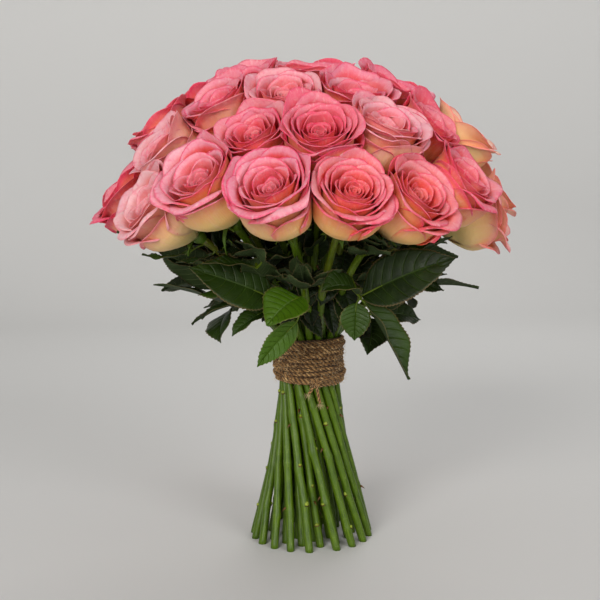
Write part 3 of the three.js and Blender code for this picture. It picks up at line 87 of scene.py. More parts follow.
LEAVES = [
    {"joint": [40.51,-86.34,220.25], "root": [34.08,-75.71,234.22], "leaflets": [
        {"base": [42.01,-88.34,222.02], "tip": [111.37,-117.07,252.56], "up": [0.153,-0.814,0.56], "width": 44, "bend": 26, "fold": 10},
        {"base": [44.25,-90.34,216.54], "tip": [77.75,-97.07,155.48], "up": [0.756,-0.605,0.252], "width": 34, "bend": 10, "fold": 42},
        {"base": [37.01,-92.34,224.04], "tip": [9.11,-103.07,226.59], "up": [0,-0.447,0.894], "width": 30, "bend": 105, "fold": 24},
        {"base": [37.36,-84.34,216.07], "tip": [35.58,-85.07,185.84], "up": [0,-0.995,0.1], "width": 25, "bend": 14, "fold": 14},]},
    {"joint": [-4.26,-80,220.16], "root": [-4.25,-76.5,224.28], "leaflets": [
        {"base": [-7.47,-84,221.38], "tip": [-33.63,-102,200.59], "up": [-0.099,-0.713,0.694], "width": 42, "bend": 62, "fold": 10},
        {"base": [-10.18,-76,200.37], "tip": [-43.03,-80,164.66], "up": [0.512,-0.82,0.256], "width": 22, "bend": -34, "fold": 18},]},
    {"joint": [-27.99,-74.81,219.8], "root": [-28.63,-65.72,227.3], "leaflets": [
        {"base": [-29.51,-78.81,220.19], "tip": [-93.44,-106.25,247.22], "up": [-0.1,-0.86,0.5], "width": 43, "bend": 20, "fold": 8},
        {"base": [-38.03,-68.81,214.47], "tip": [-88.18,-74.25,204.48], "up": [-0.297,-0.346,0.89], "width": 24, "bend": 48, "fold": 20},
        {"base": [-34.9,-66.81,209.28], "tip": [-63.43,-72.25,189.12], "up": [-0.298,-0.596,0.745], "width": 22, "bend": 36, "fold": 20},]},
    {"joint": [-41.12,-97.21,245.94], "root": [-42.3,-88.8,253.61], "leaflets": [
        {"base": [-42.61,-99.21,246.87], "tip": [-82.22,-113.37,250.41], "up": [0,-0.349,0.937], "width": 19, "bend": 22, "fold": 18},
        {"base": [-36.03,-105.21,251.05], "tip": [-55.61,-125.37,268.22], "up": [-0.201,-0.301,0.932], "width": 20, "bend": 30, "fold": 12},]},
    {"joint": [51.04,-28.93,200.52], "root": [38.24,-29.8,206.83], "leaflets": [
        {"base": [53.2,-32.64,204.15], "tip": [78.49,-76.06,246.68], "up": [0.589,-0.38,0.713], "width": 32.4, "bend": 28.9, "fold": 15.9},
        {"base": [53.65,-27.38,200.05], "tip": [99.03,-0.3,191.89], "up": [0.687,-0.263,0.678], "width": 29, "bend": 37.7, "fold": 13},
        {"base": [50.58,-34.33,198.37], "tip": [45.73,-92.02,175.4], "up": [0.405,-0.536,0.741], "width": 35.1, "bend": 46.7, "fold": 12.8},]},
    {"joint": [70.18,2.92,212.73], "root": [65.98,4.59,216.7], "leaflets": [
        {"base": [73.6,1.62,213.11], "tip": [145.83,-25.81,221.25], "up": [0.606,-0.115,0.787], "width": 32.8, "bend": 39.6, "fold": 21.6},
        {"base": [71.83,6.34,211.51], "tip": [96.8,58.12,193.04], "up": [0.683,-0.237,0.691], "width": 28.4, "bend": 16.6, "fold": 11.7},]},
    {"joint": [77.88,28.17,223.02], "root": [67.11,35.66,229.2], "leaflets": [
        {"base": [80.04,28.97,225.16], "tip": [122.08,44.48,266.7], "up": [0.641,0.135,0.755], "width": 32.7, "bend": 16.5, "fold": 18.2},
        {"base": [77.84,32.46,221.95], "tip": [97,66,194], "up": [0.636,0.09,0.766], "width": 34.2, "bend": 32.7, "fold": 9.1},]},
    {"joint": [67.69,45.53,223.01], "root": [65.2,41.35,227.81], "leaflets": [
        {"base": [71.45,48.96,225.73], "tip": [118.23,91.6,259.61], "up": [0.624,0.354,0.697], "width": 38.5, "bend": 32.9, "fold": 24},
        {"base": [66.78,49.31,221.93], "tip": [53.76,103.41,206.58], "up": [0.683,0.247,0.687], "width": 31.4, "bend": 12.8, "fold": 15.4},]},
    {"joint": [32.09,69.09,217.82], "root": [20.92,66.57,222.88], "leaflets": [
        {"base": [32.63,73.38,220.29], "tip": [40.37,134.87,255.71], "up": [0.441,0.542,0.715], "width": 32.9, "bend": 52.2, "fold": 17.6},
        {"base": [30.01,72.5,216.84], "tip": [-1.47,124.3,202.07], "up": [0.466,0.439,0.768], "width": 34.3, "bend": 16.2, "fold": 17},]},
    {"joint": [-4.11,59.95,204.15], "root": [-5.89,56.5,207.65], "leaflets": [
        {"base": [-3.23,62.98,206.12], "tip": [13.21,119.17,242.79], "up": [0.032,0.599,0.8], "width": 40.1, "bend": 42.5, "fold": 23.9},
        {"base": [-8.51,61.13,202.81], "tip": [-65.2,76.3,185.61], "up": [-0.075,0.65,0.756], "width": 28.6, "bend": 27.6, "fold": 18.5},
        {"base": [-0.35,62.16,202.9], "tip": [45.87,89.26,187.58], "up": [0.232,0.686,0.69], "width": 29.5, "bend": 56.6, "fold": 17.1},]},
    {"joint": [-34,71.88,219.63], "root": [-35.39,65.25,225.29], "leaflets": [
        {"base": [-35.22,76.28,221.14], "tip": [-49.38,127.36,238.61], "up": [-0.394,0.441,0.807], "width": 38.8, "bend": 27, "fold": 18},
        {"base": [-36.83,71.29,218.72], "tip": [-87.66,60.74,202.26], "up": [-0.233,0.706,0.669], "width": 29.1, "bend": 31.1, "fold": 10.2},]},
    {"joint": [-53.84,44.8,211.72], "root": [-53.47,37.13,217.03], "leaflets": [
        {"base": [-55.89,46.58,213.33], "tip": [-93.94,79.67,243.3], "up": [-0.472,0.405,0.783], "width": 35.4, "bend": 44.7, "fold": 21.8},
        {"base": [-56.8,43.71,210.38], "tip": [-106.79,25.4,187.93], "up": [-0.52,0.355,0.777], "width": 29.5, "bend": 17, "fold": 18.6},
        {"base": [-53.26,48.57,210.57], "tip": [-45.02,102.45,194.17], "up": [-0.287,0.696,0.658], "width": 32, "bend": 31.8, "fold": 9.9},]},
    {"joint": [-83.64,30.79,228.16], "root": [-70.88,39.69,233.96], "leaflets": [
        {"base": [-86.31,31.06,229.66], "tip": [-134.23,35.82,256.49], "up": [-0.591,0.304,0.747], "width": 32.9, "bend": 54, "fold": 19.3},
        {"base": [-87.58,26.85,227.63], "tip": [-128,-13.6,222.23], "up": [-0.727,0.003,0.687], "width": 34, "bend": 19.6, "fold": 16},]},
    {"joint": [-62.92,-7.42,205.78], "root": [-57.07,0.61,210.47], "leaflets": [
        {"base": [-68.18,-9.01,207.52], "tip": [-132.58,-28.42,228.77], "up": [-0.771,-0.256,0.583], "width": 34.2, "bend": 19.2, "fold": 9.5},
        {"base": [-63.7,-12.48,204.02], "tip": [-72.76,-70.99,183.6], "up": [-0.63,-0.125,0.766], "width": 34.1, "bend": 55, "fold": 12.4},]},
    {"joint": [-75.22,-28.24,222.33], "root": [-71.6,-23.46,226.65], "leaflets": [
        {"base": [-77.86,-29.95,224.4], "tip": [-121.57,-58.09,258.58], "up": [-0.626,0.037,0.779], "width": 39.4, "bend": 36.9, "fold": 16.7},
        {"base": [-74.6,-33.62,222.28], "tip": [-68.94,-83.05,221.76], "up": [-0.527,-0.452,0.72], "width": 32.8, "bend": 55.7, "fold": 22},]},
]
N_ROSES = len(ROSES)
HIP = np.array([r["hip"] for r in ROSES])
AXIS = np.array([r["axis"] for r in ROSES])
AXIS /= np.linalg.norm(AXIS, axis=1)[:, None]
SIZE = np.array([r["size"] for r in ROSES])


# ---------------------------------------------------------------- mesh helpers
def unit(v):
    v = np.asarray(v, float)
    return v / np.linalg.norm(v)


def smooth(x):
    x = np.clip(x, 0, 1)
    return x * x * (3 - 2 * x)


class Parts:
    """Collects closed pieces of surface, with two colour attributes, into one mesh."""

    def __init__(self):
        self.v, self.quads, self.tris, self.a, self.b, self.qm, self.tm = [], [], [], [], [], [], []
        self.n = 0

    def add(self, verts, quads, tris, a, b, mat=0):
        verts = np.asarray(verts, float).reshape(-1, 3)
        m = len(verts)
        self.v.append(verts)
        a = np.asarray(a, float)
        b = np.asarray(b, float)
        self.a.append(np.broadcast_to(a, (m, 4)) if a.ndim == 1 else a.reshape(m, 4))
        self.b.append(np.broadcast_to(b, (m, 4)) if b.ndim == 1 else b.reshape(m, 4))
        if quads is not None and len(quads):
            q = np.asarray(quads, int).reshape(-1, 4) + self.n
            self.quads.append(q)
            self.qm.append(np.full(len(q), mat))
        if tris is not None and len(tris):
            t = np.asarray(tris, int).reshape(-1, 3) + self.n
            self.tris.append(t)
            self.tm.append(np.full(len(t), mat))
        self.n += m

    def build(self, name, materials, shade=True):
        V = (np.vstack(self.v) + SHIFT) * MM
        Q = np.vstack(self.quads) if self.quads else np.zeros((0, 4), int)
        T = np.vstack(self.tris) if self.tris else np.zeros((0, 3), int)
        me = bpy.data.meshes.new(name)
        me.vertices.add(len(V))
        me.vertices.foreach_set("co", V.astype(np.float32).ravel())
        loops = np.concatenate([Q.ravel(), T.ravel()]).astype(np.int32)
        me.loops.add(len(loops))
        me.loops.foreach_set("vertex_index", loops)
        total = np.concatenate([np.full(len(Q), 4), np.full(len(T), 3)]).astype(np.int32)
        start = np.concatenate([[0], np.cumsum(total)[:-1]]).astype(np.int32)
        me.polygons.add(len(total))
        me.polygons.foreach_set("loop_start", start)
        me.polygons.foreach_set("loop_total", total)
        mats = np.concatenate(self.qm + self.tm).astype(np.int32)
        me.polygons.foreach_set("material_index", mats)
        me.update(calc_edges=True)
        me.polygons.foreach_set("use_smooth", np.full(len(total), shade))
        for key, rows in (("grow", self.a), ("kind", self.b)):
            at = me.attributes.new(key, "FLOAT_COLOR", "POINT")
            at.data.foreach_set("color", np.vstack(rows).astype(np.float32).ravel())
        for m in materials:
            me.materials.append(m)
        ob = bpy.data.objects.new(name, me)
        bpy.context.scene.collection.objects.link(ob)
        return ob


def grid_faces(nu, nv):
    i, j = np.meshgrid(np.arange(nu - 1), np.arange(nv - 1), indexing="ij")
    k = i * nv + j
    return np.stack([k, k + nv, k + nv + 1, k + 1], -1).reshape(-1, 4)


def sheet_solid(P, thick, edge=0.45):
    """A grid of points (nu, nv, 3) made into a closed thin solid. Side one looks along du x dv."""
    nu, nv = P.shape[:2]
    du = np.gradient(P, axis=0)
    dv = np.gradient(P, axis=1)
    nrm = np.cross(du, dv)
    L = np.linalg.norm(nrm, axis=2, keepdims=True)
    nrm = nrm / np.maximum(L, 1e-9)
    t = np.full((nu, nv, 1), thick / 2)
    t[0] *= edge; t[-1] *= edge; t[:, -1] *= edge
    top = (P + nrm * t).reshape(-1, 3)
    bot = (P - nrm * t).reshape(-1, 3)
    n = nu * nv
    F = grid_faces(nu, nv)
    faces = [F, F[:, ::-1] + n]
    k = np.arange(nv - 1)
    a = k; b = k + 1
    faces.append(np.stack([a, b, b + n, a + n], 1))                      # u = 0
    a = (nu - 1) * nv + k; b = a + 1
    faces.append(np.stack([b, a, a + n, b + n], 1))                      # u = 1
    k = np.arange(nu - 1) * nv
    faces.append(np.stack([k + nv, k, k + n, k + nv + n], 1))            # v = 0
    a = k + nv - 1; b = a + nv
    faces.append(np.stack([a, b, b + n, a + n], 1))                      # v = 1
    return np.vstack([top, bot]), np.vstack(faces)


def frames_along(path):
    """Tangents and a turning-free pair of normals along a polyline."""
    T = np.gradient(path, axis=0)
    T /= np.linalg.norm(T, axis=1)[:, None]
    ref = np.array([0.0, -1.0, 0.05])
    N = np.zeros_like(T)
    n = ref - T[0] * (ref @ T[0])
    n /= np.linalg.norm(n)
    for i in range(len(T)):
        n = n - T[i] * (n @ T[i])
        n /= np.linalg.norm(n)
        N[i] = n
    return T, N, np.cross(T, N)


def tube(path, radius, sides, a=None, b=None, flat_ends=False, section=None):
    """A closed tube: verts, quads and tris."""
    path = np.asarray(path, float)
    m = len(path)
    T, N, B = frames_along(path)
    ang = np.arange(sides) * 2 * math.pi / sides
    r = np.broadcast_to(np.asarray(radius, float).reshape(-1, 1) if np.ndim(radius) == 1 else radius, (m, sides))
    ring = path[:, None] + (N[:, None] * np.cos(ang)[None, :, None] + B[:, None] * np.sin(ang)[None, :, None]) * r[..., None]
    V = ring.reshape(-1, 3)
    i, j = np.meshgrid(np.arange(m - 1), np.arange(sides), indexing="ij")
    k = i * sides + j
    k2 = i * sides + (j + 1) % sides
    Q = np.stack([k, k2, k2 + sides, k + sides], -1).reshape(-1, 4)
    V = np.vstack([V, path[0][None], path[-1][None]])
    c0, c1 = m * sides, m * sides + 1
    j = np.arange(sides)
    tr = [np.stack([np.full(sides, c0), (j + 1) % sides, j], 1), np.stack([np.full(sides, c1), (m - 1) * sides + j, (m - 1) * sides + (j + 1) % sides], 1)]
    return V, Q, np.vstack(tr)


def resample(P, step):
    P = np.asarray(P, float)
    L = np.concatenate([[0], np.cumsum(np.linalg.norm(np.diff(P, axis=0), axis=1))])
    n = max(3, int(round(L[-1] / step)) + 1)
    s = np.linspace(0, L[-1], n)
    return np.stack([np.interp(s, L, P[:, k]) for k in range(3)], 1)


def soften(P, rounds):
    P = P.copy()
    for _ in range(rounds):
        P[1:-1] = (P[:-2] + 2 * P[1:-1] + P[2:]) / 4
    return P


# ------------------------------------------------------------------- materials
def lin(r, g, b, a=1.0):
    f = lambda c: (c / 255 / 12.92) if c / 255 <= 0.04045 else ((c / 255 + 0.055) / 1.055) ** 2.4
    return (f(r), f(g), f(b), a)


class Nodes:
    def __init__(self, name):
        self.m = bpy.data.materials.new(name)
        self.m.use_nodes = True
        self.t = self.m.node_tree
        self.t.nodes.clear()
        self.out = self.t.nodes.new("ShaderNodeOutputMaterial")
        self.p = self.t.nodes.new("ShaderNodeBsdfPrincipled")
        self.t.links.new(self.p.outputs[0], self.out.inputs[0])

    def put(self, sock, val):
        if hasattr(val, "links") or hasattr(val, "is_linked"):
            self.t.links.new(val, sock)
        else:
            sock.default_value = val

    def math(self, op, a, b=None, c=None, clamp=False):
        n = self.t.nodes.new("ShaderNodeMath")
        n.operation = op
        n.use_clamp = clamp
        self.put(n.inputs[0], a)
        if b is not None:
            self.put(n.inputs[1], b)
        if c is not None:
            self.put(n.inputs[2], c)
        return n.outputs[0]

    def attr(self, name):
        n = self.t.nodes.new("ShaderNodeAttribute")
        n.attribute_name = name
        s = self.t.nodes.new("ShaderNodeSeparateColor")
        self.t.links.new(n.outputs["Color"], s.inputs[0])
        return s.outputs[0], s.outputs[1], s.outputs[2], n.outputs["Alpha"]

    def ramp(self, fac, stops, mode="LINEAR"):
        n = self.t.nodes.new("ShaderNodeValToRGB")
        n.color_ramp.interpolation = mode
        e = n.color_ramp.elements
        while len(e) > 1:
            e.remove(e[0])
        e[0].position, e[0].color = stops[0][0], stops[0][1]
        for pos, col in stops[1:]:
            k = e.new(pos)
            k.color = col
        self.put(n.inputs[0], fac)
        return n.outputs[0]

    def mix(self, fac, a, b, blend="MIX"):
        n = self.t.nodes.new("ShaderNodeMix")
        n.data_type = "RGBA"
        n.blend_type = blend
        self.put(n.inputs[0], fac)
        self.put(n.inputs[6], a)
        self.put(n.inputs[7], b)
        return n.outputs[2]

    def noise(self, vec, scale, detail=2.0, rough=0.5, dist=0.0):
        n = self.t.nodes.new("ShaderNodeTexNoise")
        n.inputs["Scale"].default_value = scale
        n.inputs["Detail"].default_value = detail
        n.inputs["Roughness"].default_value = rough
        n.inputs["Distortion"].default_value = dist
        self.put(n.inputs["Vector"], vec)
        return n.outputs[0]

    def xyz(self, x, y, z):
        n = self.t.nodes.new("ShaderNodeCombineXYZ")
        self.put(n.inputs[0], x)
        self.put(n.inputs[1], y)
        self.put(n.inputs[2], z)
        return n.outputs[0]

    def pos(self):
        n = self.t.nodes.new("ShaderNodeTexCoord")
        return n.outputs["Object"]

    def bump(self, height, dist, strength=1.0, chain=None):
        n = self.t.nodes.new("ShaderNodeBump")
        n.inputs["Strength"].default_value = strength
        n.inputs["Distance"].default_value = dist
        self.put(n.inputs["Height"], height)
        if chain is not None:
            self.put(n.inputs["Normal"], chain)
        return n.outputs[0]

    def set(self, **kw):
        for k, v in kw.items():
            self.put(self.p.inputs[k.replace("_", " ")], v)


def side_face(M, side):
    return M.math("SUBTRACT", 1.0, M.math("MULTIPLY", side, 0.75))


def petal_material():
    M = Nodes("rose_petal")
    v, u, side, f = M.attr("grow")
    rnd, pale, deep, warm = M.attr("kind")
    # streaks that run from the foot of the petal to its rim, fanning out
    su = M.math("MULTIPLY", u, 26.0)
    sv = M.math("MULTIPLY", v, 2.2)
    streak = M.noise(M.xyz(su, sv, M.math("MULTIPLY", rnd, 37.0)), 1.0, 3.0, 0.55)
    cloud = M.noise(M.pos(), 95.0, 3.0, 0.55)
    fleck = M.noise(M.pos(), 1500.0, 2.0, 0.6)
    cs = M.math("SUBTRACT", u, 0.5)
    ce = M.math("MULTIPLY", M.math("POWER", M.math("ABSOLUTE", M.math("MULTIPLY", cs, 2.0)), 5.0), M.math("MULTIPLY", M.math("POWER", v, 1.4), 0.34))
    wob = M.math("ADD", M.math("MULTIPLY", M.math("SUBTRACT", streak, 0.5), 0.20), M.math("MULTIPLY", M.math("SUBTRACT", cloud, 0.5), 0.22))
    vo = M.math("ADD", M.math("ADD", v, ce), M.math("MULTIPLY", wob, M.math("SUBTRACT", 1.25, v)), clamp=True)
    outer = M.ramp(vo, [
        (0.00, lin(140, 146, 52)), (0.07, lin(206, 180, 100)), (0.26, lin(230, 188, 106)),
        (0.46, lin(242, 180, 100)), (0.60, lin(247, 158, 90)), (0.72, lin(248, 122, 86)),
        (0.84, lin(245, 98, 104)), (0.95, lin(240, 78, 108)), (1.00, lin(230, 52, 92))])
    # inner face: the orange at its foot is partly the petal's own colour and partly a painted glow of light passing
    # through the petals deep in the cup
    inner = M.ramp(vo, [
        (0.00, lin(252, 182, 86)), (0.25, lin(255, 124, 56)), (0.46, lin(255, 94, 52)),
        (0.60, lin(254, 84, 66)), (0.72, lin(250, 96, 106)), (0.84, lin(246, 144, 162)), (0.94, lin(245, 148, 168)),
        (0.98, lin(240, 92, 128)), (1.00, lin(232, 58, 102))])
    col = M.mix(side, inner, outer)
    # the heart of the bloom is deeper coral, its outside paler
    heart = M.math("MULTIPLY", M.math("SUBTRACT", 1.05, M.math("MULTIPLY", f, 1.9), clamp=True), warm)
    heart = M.math("MULTIPLY", heart, M.math("SUBTRACT", 1.10, M.math("MULTIPLY", M.math("POWER", v, 6.0), 0.65)))
    col = M.mix(heart, col, lin(255, 92, 80))
    coral = M.math("MULTIPLY", M.math("SUBTRACT", warm, 0.55, clamp=True), M.math("SUBTRACT", 1.1, M.math("MULTIPLY", M.math("POWER", v, 8.0), 0.7)))
    col = M.mix(M.math("MULTIPLY", coral, side_face(M, side)), col, lin(254, 94, 58))
    col = M.mix(M.math("MULTIPLY", M.math("MAXIMUM", deep, 0.0), M.math("ADD", 0.25, M.math("MULTIPLY", v, 0.75))), col, lin(236, 50, 92))
    # pale lips: partly the rose's own paler tone, and on roses 6 and 12 at the left a painted highlight of the light
    # from the left front
    col = M.mix(M.math("MULTIPLY", pale, M.math("ADD", 0.2, M.math("MULTIPLY", v, 0.6))), col, lin(255, 214, 206))
    col = M.mix(M.math("MULTIPLY", M.math("GREATER_THAN", fleck, 0.64), 0.10), col, lin(255, 226, 214))
    col = M.mix(M.math("MULTIPLY", M.math("SUBTRACT", streak, 0.5, clamp=True), 0.60), col, lin(255, 220, 210))
    mott = M.noise(M.pos(), 260.0, 3.0, 0.65, 0.6)
    both = M.math("ADD", M.math("MULTIPLY", mott, 0.6), M.math("MULTIPLY", streak, 0.5))
    blush = M.math("MULTIPLY", M.math("SUBTRACT", both, 0.55, clamp=True), 6.5, clamp=True)
    blush = M.math("MULTIPLY", blush, M.math("POWER", v, 3.0))
    col = M.mix(M.math("MULTIPLY", blush, 0.60), col, lin(238, 70, 116))
    light = M.math("MULTIPLY", M.math("SUBTRACT", 0.52, both, clamp=True), 5.0, clamp=True)
    light = M.math("MULTIPLY", light, M.math("POWER", v, 2.0))
    col = M.mix(M.math("MULTIPLY", light, 0.55), col, lin(252, 206, 206))
    yel = M.math("MULTIPLY", deep, -1.0, clamp=True)
    col = M.mix(yel, col, M.ramp(v, [(0.0, lin(240, 214, 140)), (0.6, lin(254, 206, 142)), (0.9, lin(254, 202, 158)), (1.0, lin(248, 140, 126))]))
    M.set(Base_Color=col, Roughness=0.50, Sheen_Weight=0.06, Sheen_Roughness=0.4, Subsurface_Weight=0.32, Subsurface_Scale=0.005)
    M.p.inputs["Subsurface Radius"].default_value = (1.0, 0.45, 0.35)
    M.p.inputs["Sheen Tint"].default_value = (1.0, 0.86, 0.88, 1)
    M.p.inputs["Specular IOR Level"].default_value = 0.24
    fine = M.noise(M.xyz(M.math("MULTIPLY", u, 90.0), M.math("MULTIPLY", v, 6.0), M.math("MULTIPLY", rnd, 37.0)), 1.0, 2.0, 0.5)
    b1 = M.bump(fine, 0.00035, 0.55)
    b2 = M.bump(cloud, 0.0016, 0.5, b1)
    M.set(Normal=b2)
    return M.m


def green_material(name, base, dark, light, rough, scar=False):
    """Stem, hip and sepal skin. grow = (along, around, scar, cut), kind = (random, redness, 0, 0)."""
    M = Nodes(name)
    v, u, mark, cut = M.attr("grow")
    rnd, red, tip, _ = M.attr("kind")
    run = M.noise(M.xyz(M.math("MULTIPLY", u, 14.0), M.math("MULTIPLY", v, 30.0), M.math("MULTIPLY", rnd, 50.0)), 1.0, 3.0, 0.5)
    patch = M.noise(M.pos(), 60.0, 3.0, 0.5)
    col = M.ramp(run, [(0.25, dark), (0.5, base), (0.75, light)])
    col = M.mix(M.math("MULTIPLY", M.math("SUBTRACT", patch, 0.42, clamp=True), 1.1), col, light)
    col = M.mix(M.math("MULTIPLY", red, M.math("ADD", 0.2, patch)), col, lin(120, 52, 40))
    dots = M.noise(M.pos(), 900.0, 1.0, 0.5)
    col = M.mix(M.math("MULTIPLY", M.math("GREATER_THAN", dots, 0.66), 0.16), col, lin(176, 190, 104))
    scarcol = M.ramp(patch, [(0.3, lin(40, 20, 12)), (0.55, lin(84, 44, 24)), (0.75, lin(140, 92, 52))])
    col = M.mix(M.math("MULTIPLY", tip, 0.8), col, lin(168, 186, 62))
    col = M.mix(mark, col, scarcol)
    pith = M.ramp(dots, [(0.3, lin(205, 214, 160)), (0.7, lin(226, 226, 186))])
    col = M.mix(M.math("MULTIPLY", cut, 2.6, clamp=True), col, pith)
    M.set(Base_Color=col, Roughness=rough)
    M.p.inputs["Specular IOR Level"].default_value = 0.34
    b1 = M.bump(run, 0.0004, 0.5)
    M.set(Normal=M.bump(dots, 0.0002, 0.5, b1))
    return M.m


def leaf_material():
    """grow = (along, across 0..1, side, leaf random), kind = (length/width, tone, 0, 0)."""
    M = Nodes("rose_leaf")
    t, x, side, rnd = M.attr("grow")
    asp, tone, young, _ = M.attr("kind")
    ax = M.math("ABSOLUTE", M.math("MULTIPLY", M.math("SUBTRACT", x, 0.5), 2.0))
    patch = M.noise(M.pos(), 55.0, 3.0, 0.55)
    small = M.noise(M.pos(), 420.0, 2.0, 0.6)
    # side veins leave the midrib at an angle and bow towards the tip
    bow = M.math("MULTIPLY", M.math("POWER", ax, 1.35), 0.16)
    ph = M.math("FRACT", M.math("MULTIPLY", M.math("SUBTRACT", t, bow), 8.5))
    near = M.math("ABSOLUTE", M.math("SUBTRACT", ph, 0.5))
    vein = M.math("SUBTRACT", 1.0, M.math("MULTIPLY", M.math("SUBTRACT", 0.5, near), 11.0), clamp=True)
    fade = M.math("SUBTRACT", 1.0, M.math("POWER", ax, 4.0), clamp=True)
    vein = M.math("MULTIPLY", vein, fade)
    mid = M.math("SUBTRACT", 1.0, M.math("MULTIPLY", ax, 17.0), clamp=True)
    lines = M.math("MAXIMUM", M.math("MULTIPLY", vein, 0.6), mid)
    vor = M.t.nodes.new("ShaderNodeTexVoronoi")
    vor.feature = "DISTANCE_TO_EDGE"
    vor.inputs["Scale"].default_value = 620.0
    M.t.links.new(M.pos(), vor.inputs["Vector"])
    net = vor.outputs[0]
    top = M.ramp(patch, [(0.25, lin(9, 18, 3)), (0.5, lin(17, 30, 4)), (0.8, lin(31, 48, 6))])
    top = M.mix(young, top, lin(78, 116, 12))
    under = M.ramp(patch, [(0.25, lin(34, 48, 20)), (0.75, lin(56, 72, 34))])
    top = M.mix(M.math("MULTIPLY", lines, 0.34), top, lin(78, 104, 34))
    under = M.mix(M.math("MULTIPLY", lines, 0.45), under, lin(126, 142, 92))
    col = M.mix(side, under, top)
    # leaf margin: partly the leaf's own brownish edge, partly a painted highlight where the toothed margin catches
    # light
    rim = M.math("MULTIPLY", M.math("SUBTRACT", M.math("MULTIPLY", ax, 1.0), 0.93, clamp=True), 9.0, clamp=True)
    col = M.mix(M.math("MULTIPLY", rim, 0.6), col, lin(150, 120, 84))
    col = M.mix(M.math("MULTIPLY", M.math("SUBTRACT", small, 0.5, clamp=True), 0.22), col, lin(84, 104, 44))
    ro = M.math("ADD", 0.30, M.math("MULTIPLY", patch, 0.22))
    ro = M.math("ADD", ro, M.math("MULTIPLY", M.math("SUBTRACT", 1.0, side), 0.25))
    M.set(Base_Color=col, Roughness=ro)
    M.p.inputs["Specular IOR Level"].default_value = 0.24
    h = M.math("SUBTRACT", 0.0, M.math("MULTIPLY", lines, 1.0))
    b1 = M.bump(h, 0.0010, 0.9)
    b2 = M.bump(M.math("MINIMUM", net, 0.12), 0.0016, 0.5, b1)
    M.set(Normal=M.bump(patch, 0.0022, 0.4, b2))
    return M.m


def jute_material():
    """grow = (along mm / 100, around, ply, hair), kind = (random, weight against the painted groove shade: 0 deep in
    the grooves, 1 on the outside of the plies, 0, 0).
    """
    M = Nodes("jute")
    s, u, ply, hair = M.attr("grow")
    rnd, out, _, _ = M.attr("kind")
    fib = M.noise(M.xyz(M.math("MULTIPLY", s, 60.0), M.math("MULTIPLY", u, 9.0), M.math("MULTIPLY", ply, 17.0)), 1.0, 3.0, 0.6)
    big = M.noise(M.pos(), 210.0, 3.0, 0.65)
    fine = M.noise(M.pos(), 2400.0, 2.0, 0.6)
    col = M.ramp(M.math("ADD", M.math("MULTIPLY", fib, 0.6), M.math("MULTIPLY", big, 0.4)), [
        (0.34, lin(58, 36, 15)), (0.45, lin(112, 77, 39)), (0.54, lin(168, 125, 74)), (0.64, lin(240, 202, 142))])
    # painted shade: the plies are painted dark towards the grooves between them and on the under layer, where the rope
    # lies in its own shadow
    col = M.mix(M.math("SUBTRACT", 1.0, out, clamp=True), col, lin(34, 20, 9))
    col = M.mix(M.math("MULTIPLY", hair, 0.7), col, lin(238, 214, 168))
    M.set(Base_Color=col, Roughness=0.93, Sheen_Weight=0.10, Sheen_Roughness=0.6)
    M.p.inputs["Specular IOR Level"].default_value = 0.2
    M.set(Normal=M.bump(M.math("ADD", fib, M.math("MULTIPLY", fine, 0.5)), 0.0008, 0.8))
    return M.m


petal_mat = petal_material()
stem_mat = green_material("rose_stem", lin(67, 94, 4), lin(41, 64, 3), lin(93, 120, 9), 0.40)
hip_mat = green_material("rose_hip", lin(65, 99, 13), lin(40, 69, 7), lin(96, 126, 28), 0.46)
leaf_mat = leaf_material()
jute_mat = jute_material()


# ------------------------------------------------------------------ the blooms
# one row per rose: openness, pale (the rose's own paler tone, and on roses 6 and 12 at the left also a painted
# highlight of the light from the left front), deep, warm heart, number of petals
LOOK_RNG = np.random.default_rng(20)
LOOK = []
for i in range(N_ROSES):
    LOOK.append([LOOK_RNG.uniform(0.35, 0.9), LOOK_RNG.uniform(0.0, 0.28), LOOK_RNG.uniform(0.0, 0.3), LOOK_RNG.uniform(0.45, 0.8), int(LOOK_RNG.integers(28, 34))])
for k, row in {
    1: [0.95, 0.05, 0.10, 0.40, 33], 2: [0.62, 0.0, 0.10, 0.95, 34], 3: [0.58, 0.0, 0.0, 1.0, 32],
    4: [0.75, 0.0, 0.32, 0.85, 31], 5: [0.80, 0.10, 0.05, 0.55, 31], 6: [0.50, 0.50, 0.0, 0.30, 30],
    7: [0.80, 0.05, 0.36, 0.65, 33], 8: [0.85, 0.0, 0.58, 0.65, 34], 9: [0.85, 0.28, 0.08, 0.40, 32],
    10: [0.75, 0.0, 0.48, 0.85, 31], 11: [0.85, 0.1, 0.36, 0.4, 31], 12: [0.80, 0.42, 0.05, 0.35, 31],
    13: [0.60, 0.25, 0.2, 0.6, 30], 14: [0.95, 0.10, 0.42, 0.4, 32], 15: [1.0, 0.05, 0.42, 0.4, 32],
    16: [0.95, 0.05, 0.52, 0.5, 32], 17: [0.85, 0.05, 0.62, 0.4, 31], 18: [0.65, 0.15, -0.40, 0.3, 31], 27: [0.9, 0.1, -0.70, 0.3, 32],
    19: [0.80, 0.1, -0.55, 0.3, 31], 20: [0.80, 0.1, -0.25, 0.3, 31], 35: [0.95, 0.05, 0.50, 0.4, 32], 36: [0.95, 0.05, 0.55, 0.4, 32], 39: [0.95, 0.05, 0.52, 0.4, 32],
    26: [0.85, 0.05, 0.60, 0.4, 31], 28: [0.85, 0.05, 0.62, 0.4, 31], 34: [0.85, 0.05, 0.55, 0.4, 31], 40: [0.95, 0.10, 0.45, 0.4, 32],
    41: [0.95, 0.05, 0.50, 0.4, 32], 42: [0.95, 0.15, 0.40, 0.4, 32], 29: [0.9, 0.1, 0.45, 0.4, 31]}.items():
    LOOK[k - 1] = row


def head_frame(i):
    e3 = AXIS[i]
    out = np.array([HIP[i][0], HIP[i][1], -60.0])
    if np.hypot(HIP[i][0], HIP[i][1]) < 25:
        out = np.array([0.3, -1.0, 0.0])
    e1 = out - e3 * (out @ e3)
    e1 /= np.linalg.norm(e1)
    return e1, np.cross(e3, e1), e3


NU, NV = 19, 17


